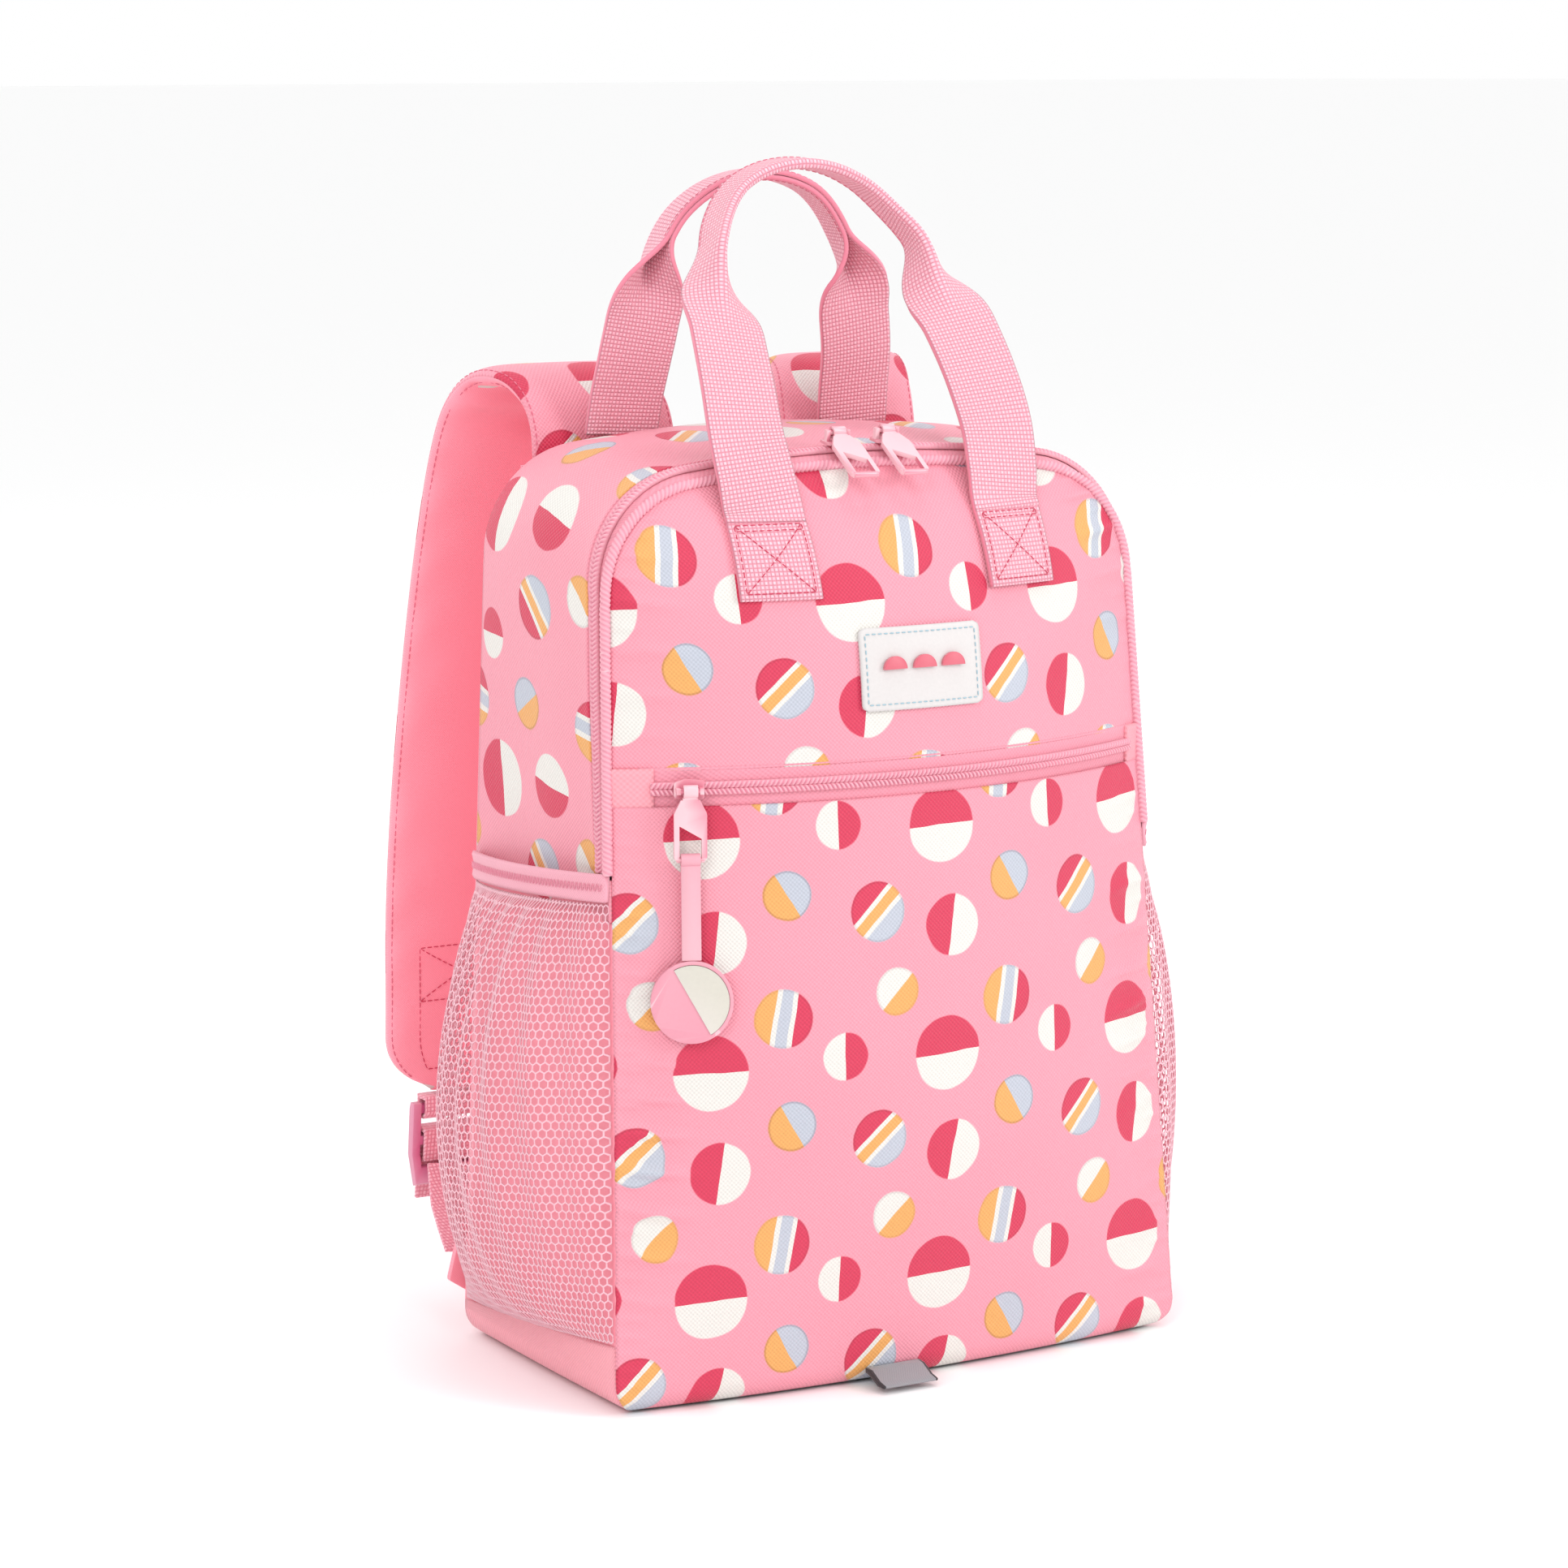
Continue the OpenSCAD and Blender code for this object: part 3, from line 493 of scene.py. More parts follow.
# fine plain weave: threads cross over and under on a checkerboard
def makeWeaveGroup():
    tree, given, result = newGroup("clothWeave", [("Vector", vector, None), ("Pitch", number, 0.8)],
                                   [("Height", number), ("Shade", number)])
    height = calc(tree, "MULTIPLY_ADD", calc(tree, "MULTIPLY", *threadWaves(tree, given)), 0.5, 0.5)
    tree.links.new(height, result["Height"])
    uneven = addNode(tree, "ShaderNodeTexNoise", {"Vector": given["Vector"], "Scale": 0.9,
                                                  "Detail": 3.0}).outputs["Fac"]
    # painted shade: the lower parts of the threads come out darker, and noise adds random unevenness
    tone = calc(tree, "MULTIPLY_ADD", height, 0.20, 0.87)
    tree.links.new(calc(tree, "MULTIPLY_ADD", uneven, 0.10, tone), result["Shade"])
    return tree


# chunky webbing: a square grid of cushions, every second one a little lower
def makeWebbingGroup():
    tree, given, result = newGroup("webbingWeave", [("Vector", vector, None), ("Pitch", number, 1.6)],
                                   [("Height", number), ("Shade", number)])
    waves = threadWaves(tree, given)
    domes = [calc(tree, "POWER", calc(tree, "ABSOLUTE", wave), 0.6) for wave in waves]
    over = calc(tree, "GREATER_THAN", calc(tree, "MULTIPLY", *waves), 0.0)
    cushion = calc(tree, "MULTIPLY", *domes)
    height = calc(tree, "MULTIPLY", cushion, calc(tree, "MULTIPLY_ADD", over, 0.3, 0.7))
    tree.links.new(height, result["Height"])
    # painted shade: the lower cushions and the gaps between them come out darker
    tree.links.new(calc(tree, "MULTIPLY_ADD", height, 0.12, 0.90), result["Shade"])
    return tree


# one printed spot of a repeat: inside, thin rim, and the share of the way across it
def makeSpotGroup():
    tree, given, result = newGroup(
        "printedSpot", [("Vector", vector, None), ("Centre", vector, None), ("Tile", vector, None),
                        ("Radius", number, 12), ("Turn", number, 0)],
        [("Inside", number), ("Rim", number), ("Across", number)])
    near = vcalc(tree, "SUBTRACT", given["Vector"], given["Centre"])
    wrapped = vcalc(tree, "FRACTION", vcalc(tree, "ADD", near, (0.5, 0.5, 0)))
    offset = vcalc(tree, "MULTIPLY", vcalc(tree, "SUBTRACT", wrapped, (0.5, 0.5, 0)), given["Tile"])
    flat = vcalc(tree, "MULTIPLY", offset, (1, 1, 0))
    away = vcalc(tree, "LENGTH", flat)
    soft = {1: 0.25, 2: -0.25, 3: 0.0, 4: 1.0}
    inside = addNode(tree, "ShaderNodeMapRange", {0: calc(tree, "SUBTRACT", away, given["Radius"]),
                                                  **soft}).outputs[0]
    inner = calc(tree, "SUBTRACT", given["Radius"], 0.75)
    core = addNode(tree, "ShaderNodeMapRange", {0: calc(tree, "SUBTRACT", away, inner),
                                                **soft}).outputs[0]
    turned = addNode(tree, "ShaderNodeVectorRotate", {"Vector": flat, "Angle": given["Turn"]},
                     rotation_type="Z_AXIS").outputs[0]
    across = addNode(tree, "ShaderNodeSeparateXYZ", {0: turned}).outputs[0]
    share = calc(tree, "MULTIPLY_ADD", calc(tree, "DIVIDE", across, given["Radius"]), 0.5, 0.5)
    tree.links.new(inside, result["Inside"])
    tree.links.new(calc(tree, "SUBTRACT", inside, core), result["Rim"])
    tree.links.new(share, result["Across"])
    return tree


inks = {
    "ground": rgb(253, 161, 179), "raspberry": rgb(222, 50, 88), "white": rgb(241, 237, 231),
    "orange": rgb(245, 176, 98), "grey": rgb(199, 204, 217),
    "rim": rgb(176, 134, 160),
}
spotPrint = {
    "tile": (98.5, 88.5, 1),  # width and height of the repeat in millimetres
    "wobble": 0.02,
    "spots": [  # share of the tile right and up, radius, turn in degrees, rim, inks across
        ((0.0, 0.0), 14.6, 88, 0.0, [(0.0, "raspberry"), (0.5, "white")]),
        ((0.325, -0.255), 9.6, -30, 0.4, [(0.0, "orange"), (0.5, "grey")]),
        ((0.70, -0.35), 11.6, 47, 0.25, [(0.0, "raspberry"), (0.32, "white"), (0.40, "orange"),
                                         (0.58, "white"), (0.66, "grey")]),
        ((0.035, -0.44), 12.0, 10, 0.0, [(0.0, "raspberry"), (0.5, "white")]),
        ((0.29, 0.22), 11.6, 10, 0.2, [(0.0, "orange"), (0.33, "white"), (0.42, "grey"),
                                       (0.62, "white"), (0.70, "raspberry")]),
        ((0.775, 0.295), 9.3, 45, 0.2, [(0.0, "white"), (0.5, "orange")]),
        ((0.545, 0.035), 9.2, 0, 0.0, [(0.0, "white"), (0.5, "raspberry")]),
    ],
}


def makePrintGroup(spotGroup):
    tree, given, result = newGroup("spotPrint", [("Vector", vector, None)], [("Color", colour)])
    tile = spotPrint["tile"]
    place = vcalc(tree, "DIVIDE", given["Vector"], tile)
    # the print's edges wander a little, as ink does on woven cloth
    wobble = addNode(tree, "ShaderNodeTexNoise", {"Vector": given["Vector"], "Scale": 0.05})
    nudge = addNode(tree, "ShaderNodeVectorMath", {0: vcalc(
        tree, "SUBTRACT", wobble.outputs["Color"], (0.5, 0.5, 0.5))}, operation="SCALE")
    nudge.inputs["Scale"].default_value = spotPrint["wobble"]
    place = vcalc(tree, "ADD", place, nudge.outputs[0])
    current = paint(tree, inks["ground"])
    for (right, up), radius, turn, rim, bands in spotPrint["spots"]:
        spot = addNode(tree, "ShaderNodeGroup", {
            "Vector": place, "Centre": (right, up, 0), "Tile": tile, "Radius": radius,
            "Turn": math.radians(turn)}, node_tree=spotGroup)
        ramp = addNode(tree, "ShaderNodeValToRGB", {0: spot.outputs["Across"]})
        ramp.color_ramp.interpolation = "CONSTANT"
        stops = ramp.color_ramp.elements
        while len(stops) < len(bands):
            stops.new(0.5)
        for stop, (share, ink) in zip(stops, bands):
            stop.position, stop.color = share, inks[ink]
        current = mixColour(tree, spot.outputs["Inside"], current, ramp.outputs[0])
        line = calc(tree, "MULTIPLY", spot.outputs["Rim"], rim)
        current = mixColour(tree, line, current, inks["rim"], "MULTIPLY")
    tree.links.new(current, result["Color"])
    return tree


# painted light: raised edges get a painted highlight and lose a little colour to wear, and hollows get
# painted shade
def makeHighlightAndShadeGroup():
    tree, given, result = newGroup("edgeHighlightWearAndHollowShade", [("Color", colour, None), ("Amount", number, 0.3),
                                                ("HollowShade", number, 0.6)],
                                   [("Color", colour), ("Mask", number)])
    bend = addNode(tree, "ShaderNodeNewGeometry").outputs["Pointiness"]
    edge = addNode(tree, "ShaderNodeMapRange", {0: bend, 1: 0.505, 2: 0.60, 3: 0.0, 4: 1.0})
    mask = calc(tree, "MULTIPLY", edge.outputs[0], given["Amount"])
    # painted shade: hollows are darkened towards a deep pink
    hollow = addNode(tree, "ShaderNodeMapRange", {0: bend, 1: 0.49, 2: 0.38, 3: 0.0, 4: 1.0})
    hollowShade = calc(tree, "MULTIPLY", hollow.outputs[0], given["HollowShade"])
    hollowShaded = mixColour(tree, hollowShade, given["Color"], (0.45, 0.16, 0.22, 1), "MULTIPLY")
    # painted highlight with a little wear: raised edges are lightened towards near white
    tree.links.new(mixColour(tree, mask, hollowShaded, (1, 0.93, 0.93, 1)), result["Color"])
    tree.links.new(mask, result["Mask"])
    return tree


# grain: fine mottling for moulded and painted parts
def makeGrainGroup():
    tree, given, result = newGroup("surfaceGrain", [("Vector", vector, None), ("Size", number, 1)],
                                   [("Height", number), ("Shade", number)])
    scale = calc(tree, "DIVIDE", 1.0, given["Size"])
    noise = addNode(tree, "ShaderNodeTexNoise", {"Vector": given["Vector"], "Scale": scale,
                                                 "Detail": 4.0}).outputs["Fac"]
    tree.links.new(noise, result["Height"])
    tree.links.new(calc(tree, "MULTIPLY_ADD", noise, 0.10, 0.95), result["Shade"])
    return tree


weaveGroup = makeWeaveGroup()
webbingGroup = makeWebbingGroup()
printGroup = makePrintGroup(makeSpotGroup())
highlightAndShadeGroup = makeHighlightAndShadeGroup()
grainGroup = makeGrainGroup()


# a material with its plain values set on the shader
def startMaterial(name, roughness, sheen=0.0, coat=0.0, specular=0.5, sheenRoughness=0.45):
    material = bpy.data.materials.new(name)
    material.use_nodes = True
    shader = material.node_tree.nodes["Principled BSDF"]
    shader.inputs["Roughness"].default_value = roughness
    shader.inputs["Sheen Weight"].default_value = sheen
    shader.inputs["Sheen Roughness"].default_value = sheenRoughness
    shader.inputs["Coat Weight"].default_value = coat
    shader.inputs["Specular IOR Level"].default_value = specular
    return material, material.node_tree, shader


# where a pattern lies: on the piece's own cloth layout or in the space it stands in
def placeOn(tree, onUv):
    if onUv:
        return addNode(tree, "ShaderNodeUVMap", uv_map="cloth").outputs[0]
    # in millimetres, and sheared so that no face of a bag standing square is seen edge on
    place = addNode(tree, "ShaderNodeTexCoord").outputs["Object"]
    split = addNode(tree, "ShaderNodeSeparateXYZ", {0: place}).outputs
    right = calc(tree, "MULTIPLY_ADD", split[1], 0.5, split[0])
    up = calc(tree, "MULTIPLY_ADD", split[1], 0.5, split[2])
    sheared = addNode(tree, "ShaderNodeCombineXYZ", {0: right, 1: up, 2: split[1]}).outputs[0]
    return vcalc(tree, "MULTIPLY", sheared, (1000, 1000, 1000))


# cloth: colour or print, toned by painted shade between the weave's threads and by slow fading, with the
# weave as bump
def clothMaterial(name, base, pitch=0.85, depth=0.22, roughness=0.72, sheen=0.25, webbing=False,
                  onUv=True, specular=0.4):
    material, tree, shader = startMaterial(name, roughness, sheen, specular=specular)
    place = placeOn(tree, onUv)
    weave = addNode(tree, "ShaderNodeGroup", {"Vector": place, "Pitch": pitch},
                    node_tree=webbingGroup if webbing else weaveGroup)
    if base == "print":
        ground = addNode(tree, "ShaderNodeGroup", {"Vector": place}, node_tree=printGroup).outputs[0]
    else:
        ground = paint(tree, base)
    # painted shade: the gaps between the cushions are tinted a deeper, darker pink
    if webbing:  # deeper pink between the cushions
        gapShadeTint = mixColour(tree, weave.outputs["Height"], (0.88, 0.46, 0.55, 1), (1, 1, 1, 1))
        ground = mixColour(tree, 1.0, ground, gapShadeTint, "MULTIPLY")
    fading = addNode(tree, "ShaderNodeTexNoise", {"Vector": place, "Scale": 0.018, "Detail": 2.0})
    # painted shade between the threads, times a slow random fading
    tone = calc(tree, "MULTIPLY", weave.outputs["Shade"],
                calc(tree, "MULTIPLY_ADD", fading.outputs["Fac"], 0.08, 0.96))
    toned = mixColour(tree, 1.0, ground, tone, "MULTIPLY")
    tree.links.new(toned, shader.inputs["Base Color"])
    tree.links.new(calc(tree, "MULTIPLY_ADD", weave.outputs["Height"], -0.12, roughness + 0.06),
                   shader.inputs["Roughness"])
    bump = addNode(tree, "ShaderNodeBump", {"Height": weave.outputs["Height"], "Strength": 1.0,
                                            "Distance": depth * mm})
    tree.links.new(bump.outputs[0], shader.inputs["Normal"])
    return material


# moulded or painted parts: grain, a painted highlight with a little wear on raised edges, and painted
# shade in hollows
def mouldedMaterial(name, base, roughness=0.42, grain=1.2, edgeWearAndHighlight=0.3, coat=0.0, depth=0.02):
    material, tree, shader = startMaterial(name, roughness, coat=coat)
    place = placeOn(tree, False)
    spread = addNode(tree, "ShaderNodeGroup", {"Vector": place, "Size": grain}, node_tree=grainGroup)
    toned = mixColour(tree, 1.0, paint(tree, base), spread.outputs["Shade"], "MULTIPLY")
    # painted highlight with a little wear on raised edges, painted shade in hollows
    highlightedAndShaded = addNode(tree, "ShaderNodeGroup", {"Color": toned, "Amount": edgeWearAndHighlight}, node_tree=highlightAndShadeGroup)
    tree.links.new(highlightedAndShaded.outputs["Color"], shader.inputs["Base Color"])
    tree.links.new(calc(tree, "MULTIPLY_ADD", spread.outputs["Height"], 0.12, roughness - 0.06),
                   shader.inputs["Roughness"])
    bump = addNode(tree, "ShaderNodeBump", {"Height": spread.outputs["Height"], "Strength": 0.6,
                                            "Distance": depth * mm})
    tree.links.new(bump.outputs[0], shader.inputs["Normal"])
    return material


printed = clothMaterial("printedCloth", "print", roughness=0.48, sheen=0.1, specular=0.5)
plain = clothMaterial("plainCloth", rgb(271, 168, 186), pitch=0.5, depth=0.05, roughness=0.6)
trayCloth = clothMaterial("trayCloth", rgb(260, 170, 183), roughness=0.48, sheen=0.1, specular=0.5)
liningCloth = clothMaterial("liningCloth", rgb(252, 196, 207), pitch=0.35, depth=0.03)
liningPlain = clothMaterial("liningTape", rgb(250, 190, 203), pitch=0.35, depth=0.03, onUv=False)
foamSheet = mouldedMaterial("foamSheet", rgb(238, 236, 230), roughness=0.85, grain=0.8, edgeWearAndHighlight=0.0)
boardSheet = mouldedMaterial("boardSheet", rgb(225, 225, 222), roughness=0.5)
tapeCloth = clothMaterial("zipTape", rgb(247, 160, 178), pitch=0.9, depth=0.15, onUv=False)
beadCloth = mouldedMaterial("pipingCord", rgb(250, 164, 184), roughness=0.62, edgeWearAndHighlight=0.25)
coilNylon = mouldedMaterial("coilNylon", rgb(246, 152, 174), roughness=0.38, edgeWearAndHighlight=0.25)
webbing = clothMaterial("webbingCloth", rgb(278, 222, 235), pitch=1.6, depth=0.6, webbing=True,
                        roughness=0.66, sheen=0.2)
webbingBlock = clothMaterial("webbingBlock", rgb(275, 214, 227), pitch=1.6, depth=0.35, webbing=True,
                             onUv=False)
tabCloth = clothMaterial("tabCloth", rgb(265, 165, 182), pitch=0.5, depth=0.06, onUv=False)
netThread = clothMaterial("netThread", rgb(255, 200, 212), pitch=0.4, depth=0.03, onUv=False)
elasticCloth = clothMaterial("elasticCloth", rgb(253, 178, 195), pitch=0.8, depth=0.14)
threadPink = clothMaterial("sewingThread", rgb(240, 122, 148), pitch=0.3, depth=0.03, onUv=False)
threadSoft = clothMaterial("elasticThread", rgb(244, 152, 174), pitch=0.3, depth=0.03, onUv=False)
threadDark = clothMaterial("boxThread", rgb(219, 62, 98), pitch=0.3, depth=0.03, onUv=False)
threadBlue = clothMaterial("labelThread", rgb(168, 203, 216), pitch=0.3, depth=0.03, onUv=False)
zincPaint = mouldedMaterial("paintedZinc", rgb(240, 140, 162), roughness=0.4, coat=0.1, edgeWearAndHighlight=0.4)
bucklePlastic = mouldedMaterial("buckleResin", rgb(228, 104, 152), roughness=0.36)
tabGrey = clothMaterial("tabRibbon", rgb(160, 158, 163), pitch=0.5, depth=0.06, onUv=False)
labelWhite = mouldedMaterial("labelFace", rgb(229, 224, 223), roughness=0.5, edgeWearAndHighlight=0.0)
emblemRed = mouldedMaterial("emblemRubber", rgb(220, 60, 92), roughness=0.45)
charmPink = mouldedMaterial("charmRubber", rgb(238, 146, 168), roughness=0.46, edgeWearAndHighlight=0.35)
charmIvory = mouldedMaterial("charmInlay", rgb(214, 210, 196), roughness=0.5)
print("materials ready")

panelPlan = {
    "columns": 161, "upperSpot": (-26, 305.7), "lowerSpot": (8.3, 130.5),  # where the print starts
    "gatherX": 4, "gatherReach": 34, "gatherGap": 4.6, "gatherDepth": 0.9, "gatherDrop": 20,
    "liningDepth": 6, "liningReach": 0.955, "liningThick": 0.9,
}
creasePlan = {"gap": 15.5, "depth": 3.0, "reach": 13, "spread": 11,
              "smallGap": 7.3, "smallDepth": 1.2, "smallReach": 5}


# soft hollows faded out at the seams, slow waves crossed with short ones, and short level
# creases that run in from the side seams: narrow ridges whose spacing drifts with height
def softness(x, z, share, fade):
    plan = creasePlan
    slow = 0.9 * np.sin(x / 34 + z / 51 + 0.6) * np.sin(z / 40 - x / 90)
    short = 0.4 * np.sin(x / 15 - z / 21) * np.sin(z / 17 + x / 60 + 1.2)
    rise = z + 2.6 * np.sin(z / 19) - 0.12 * np.abs(x)
    ridge = np.exp(2.4 * (np.cos(2 * np.pi * rise / plan["gap"]) - 1))
    drift = rise + 4 * np.sin(z / 31)
    small = np.exp(2.0 * (np.cos(2 * np.pi * drift / plan["smallGap"]) - 1))
    strong = 0.55 + 0.45 * np.sin(z / 27 + 2 * np.sign(x))
    inward = (1 - share) * 120  # about how many millimetres in from the seam
    pull = np.exp(-((inward - plan["reach"]) / plan["spread"]) ** 2) * strong
    nearer = np.exp(-((inward - plan["smallReach"]) / plan["smallReach"]) ** 2)
    creased = plan["depth"] * ridge * pull
    return ((slow + short) * (1 - share**4) - creased - plan["smallDepth"] * small * nearer) * fade


# rows of the front: u runs seam to seam, and each row sits on its arc
def frontGrid(z, columns, behind=0.0, reach=1.0, soft=0.0, fade=None):
    u = np.linspace(-reach, reach, columns)[None, :]
    z = z[:, None]
    x = u * edgeX(z, bag["frontTop"])
    fade = 1.0 if fade is None else fade[:, None]
    y = frontY(x, z) + behind + soft * softness(x, z, np.abs(u), fade)
    return np.stack([x + 0 * y, y, z + 0 * y], -1)


# length along each row's arc and up the middle line, as the cloth lies flat
def frontUv(grid, spotX, spotZ):
    x, z = grid[..., 0], grid[..., 2]
    radius = rowRadius(z)
    return np.stack([radius * np.arcsin(np.clip(x / radius, -1, 1)) - spotX, z - spotZ], -1)


# the piece's placement is baked into its mesh
def blendAtFold(piece):
    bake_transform(piece)


# the pocket panel up to the band, the cloth above it, and the lining behind both
def makeFrontPanels():
    plan, top = panelPlan, bag["frontTop"]
    low = np.concatenate([np.linspace(0.4, 12, 12), np.linspace(13, bandLow - 0.3, 210)])
    fade = np.sin(np.pi * np.clip(low / bandLow, 0, 1)) ** 0.5
    grid = frontGrid(low, plan["columns"], soft=1.0, fade=fade)
    panel = surface("front_pocket_panel", grid, frontUv(grid, *plan["lowerSpot"]))
    finished(thicken(panel, bag["clothThick"]), None, "printed_polyester", printed,
             "front_lower_panel", "front_mid_panel")
    blendAtFold(panel)
    # above the band the rows crowd towards the top, where the cloth is gathered in fine ripples
    t = np.linspace(0, 1, 120)
    high = top - 0.05 - (top - bandHigh - 0.35) * (1 - t) ** 1.8
    grid = frontGrid(high, plan["columns"], soft=0.7, fade=np.sin(np.pi * t) ** 0.6)
    aside, drop = grid[..., 0] - plan["gatherX"], top - grid[..., 2]
    gather = np.cos(aside / plan["gatherGap"] * (1 + 0.2 * np.sin(grid[..., 0] / 17)))
    gather = gather * np.exp(-(aside / plan["gatherReach"]) ** 2)
    ripple = gather * np.exp(-drop / plan["gatherDrop"]) * np.clip(drop / 5, 0, 1)
    grid[..., 1] -= plan["gatherDepth"] * ripple
    upper = surface("front_upper_cloth", grid, frontUv(grid, *plan["upperSpot"]))
    finished(thicken(upper, bag["clothThick"]), "front_flap", "printed_polyester", printed,
             "front_upper_panel")
    z = np.concatenate([np.linspace(6, 230, 40), np.linspace(233, 340, 30)])
    grid = frontGrid(z, 61, behind=plan["liningDepth"], reach=plan["liningReach"])
    lining = surface("front_lining", grid, grid[..., ::2])
    finished(thicken(lining, plan["liningThick"]), None, "lining", liningCloth,
             "front_lower_lining", "front_flap_lining")
    blendAtFold(lining)


makeFrontPanels()
print("front panels ready")

gussetPlan = {
    "zipReach": 12.4, "lowReach": 0.3, "backGap": 0.5, "columns": 44, "lowest": 27,
    "printFrom": 188, "spotX": 91, "spotZ": 229.8, "squeeze": 0.85,
    "lowThick": 1.2, "lowSink": -0.3, "lowBulge": 2.2, "lowHeight": 164,
}


# the printed gusset over the top, and the two plain sides that stand inside the side pockets
def makeGusset():
    plan = gussetPlan
    front, back = gussetPaths(plan["printFrom"], 60)
    inZip = front[:, 1] > bag["foldHeight"] - 0.1
    first = np.where(inZip, plan["zipReach"], plan["lowReach"]).astype(float)[:, None]
    reach = sideLength(front, back)[:, None] - plan["backGap"]
    share = np.linspace(0, 1, plan["columns"])[None, :]
    d = first + (reach - first) * share**1.25
    lip = np.exp(-(d - first) / 5) * np.sqrt(np.clip((d - first) / 0.8 + 0.3, 0, 1))
    grid = sidePoint(front, back, d, lip)
    along = lengthAlong(front[:, :2])[:, None] + 0 * d
    uv = np.stack([along + plan["printFrom"] - plan["spotZ"], plan["squeeze"] * (d - plan["spotX"])], -1)
    x, y, z = grid[..., 0], grid[..., 1], grid[..., 2]
    ripple = 0.9 * np.sin(z / 26 + y / 19) + 0.5 * np.sin(x / 21 - y / 13)
    ripple = ripple * np.sin(np.pi * share)
    normal = np.stack([front[:, 2:3] + 0 * x, 0 * x, front[:, 3:4] + 0 * x], -1)
    top = surface("gusset_cloth", grid + ripple[..., None] * normal, uv, away=(0, 0, 200))
    finished(thicken(top, bag["clothThick"]), "bag", "printed_polyester", printed, "gusset")
    t = np.linspace(0, 1, 40)[None, :]
    z = np.linspace(plan["lowest"], plan["printFrom"] + 3, 60)
    backZ = np.interp(z, frontKnots, backKnots)
    bulge = plan["lowBulge"] * np.sin(np.pi * t) * np.sin(
        np.pi * (z - plan["lowest"]) / plan["lowHeight"])[:, None]
    for side, name in ((-1, "left"), (1, "right")):
        front, back = (np.stack([side * halfWidth(h), h, side + 0 * h, 0 * h], -1)
                       for h in (z, backZ))
        reach = sideLength(front, back)[:, None] - plan["backGap"]
        d = plan["lowReach"] + (reach - plan["lowReach"]) * t
        grid = sidePoint(front, back, d, plan["lowSink"] + 0 * d)
        grid[..., 0] -= side * bulge
        piece = surface(f"{name}_lower_side", grid, np.stack([d, z[:, None] + 0 * d], -1))
        finished(thicken(piece, plan["lowThick"]), "bag", "plain_polyester", plain)


trayPlan = {"frontRim": 27.2, "backRim": 15.2, "frontGap": 1.2, "backGap": 0.4, "bulge": 1.2,
            "thick": 1.5}


# the base's outline at one seam: down the side, round the foot arc, to the middle and back up
def footPath(rim, sideCount=8, cornerCount=10, baseCount=25):
    foot = bag["footRadius"]
    cornerX = halfWidth(foot) - foot
    z = np.linspace(rim, foot, sideCount, endpoint=False)
    left = np.stack([-halfWidth(z), z, -1 + 0 * z, 0 * z], -1)
    turn = np.pi + np.pi / 2 * np.arange(cornerCount + 1) / cornerCount
    arc = np.stack([-cornerX + foot * np.cos(turn), foot + foot * np.sin(turn),
                    np.cos(turn), np.sin(turn)], -1)
    flat = np.linspace(-cornerX, 0, baseCount + 1)[1:]
    base = np.stack([flat, 0 * flat, 0 * flat, -1 + 0 * flat], -1)
    half = np.concatenate([left, arc, base])
    return np.concatenate([half, half[-2::-1] * [-1, 1, -1, 1]])


# the plain panel that wraps the base and the foot of both sides
def makeTray():
    front, back = footPath(trayPlan["frontRim"]), footPath(trayPlan["backRim"])
    reach = sideLength(front, back)[:, None] - trayPlan["backGap"]
    t = np.linspace(0, 1, 40)[None, :]
    d = trayPlan["frontGap"] + (reach - trayPlan["frontGap"]) * t
    grid = sidePoint(front, back, d, 0 * d)
    side = np.abs(front[:, 2])[:, None] * np.sin(np.pi * t)
    grid[..., 0] += np.sign(grid[..., 0]) * trayPlan["bulge"] * side
    uv = np.stack([d, lengthAlong(front[:, :2])[:, None] + 0 * d], -1)
    tray = surface("bottom_tray", grid, uv, away=(0, 0, 120))
    finished(thicken(tray, trayPlan["thick"]), "bag", "plain_polyester", trayCloth, "bottom_panel")


backPlan = {
    "front": 57.1, "back": 62.2, "inset": 0.6, "rim": 0.7, "depth": 3.0, "groove": 3.2,
    "channels": (-62, 0, 62), "rows": (70, 150, 230, 300),  # quilting lines, upright and level
    "slackFrom": 322, "slackRise": 24, "slack": 0.6,
}


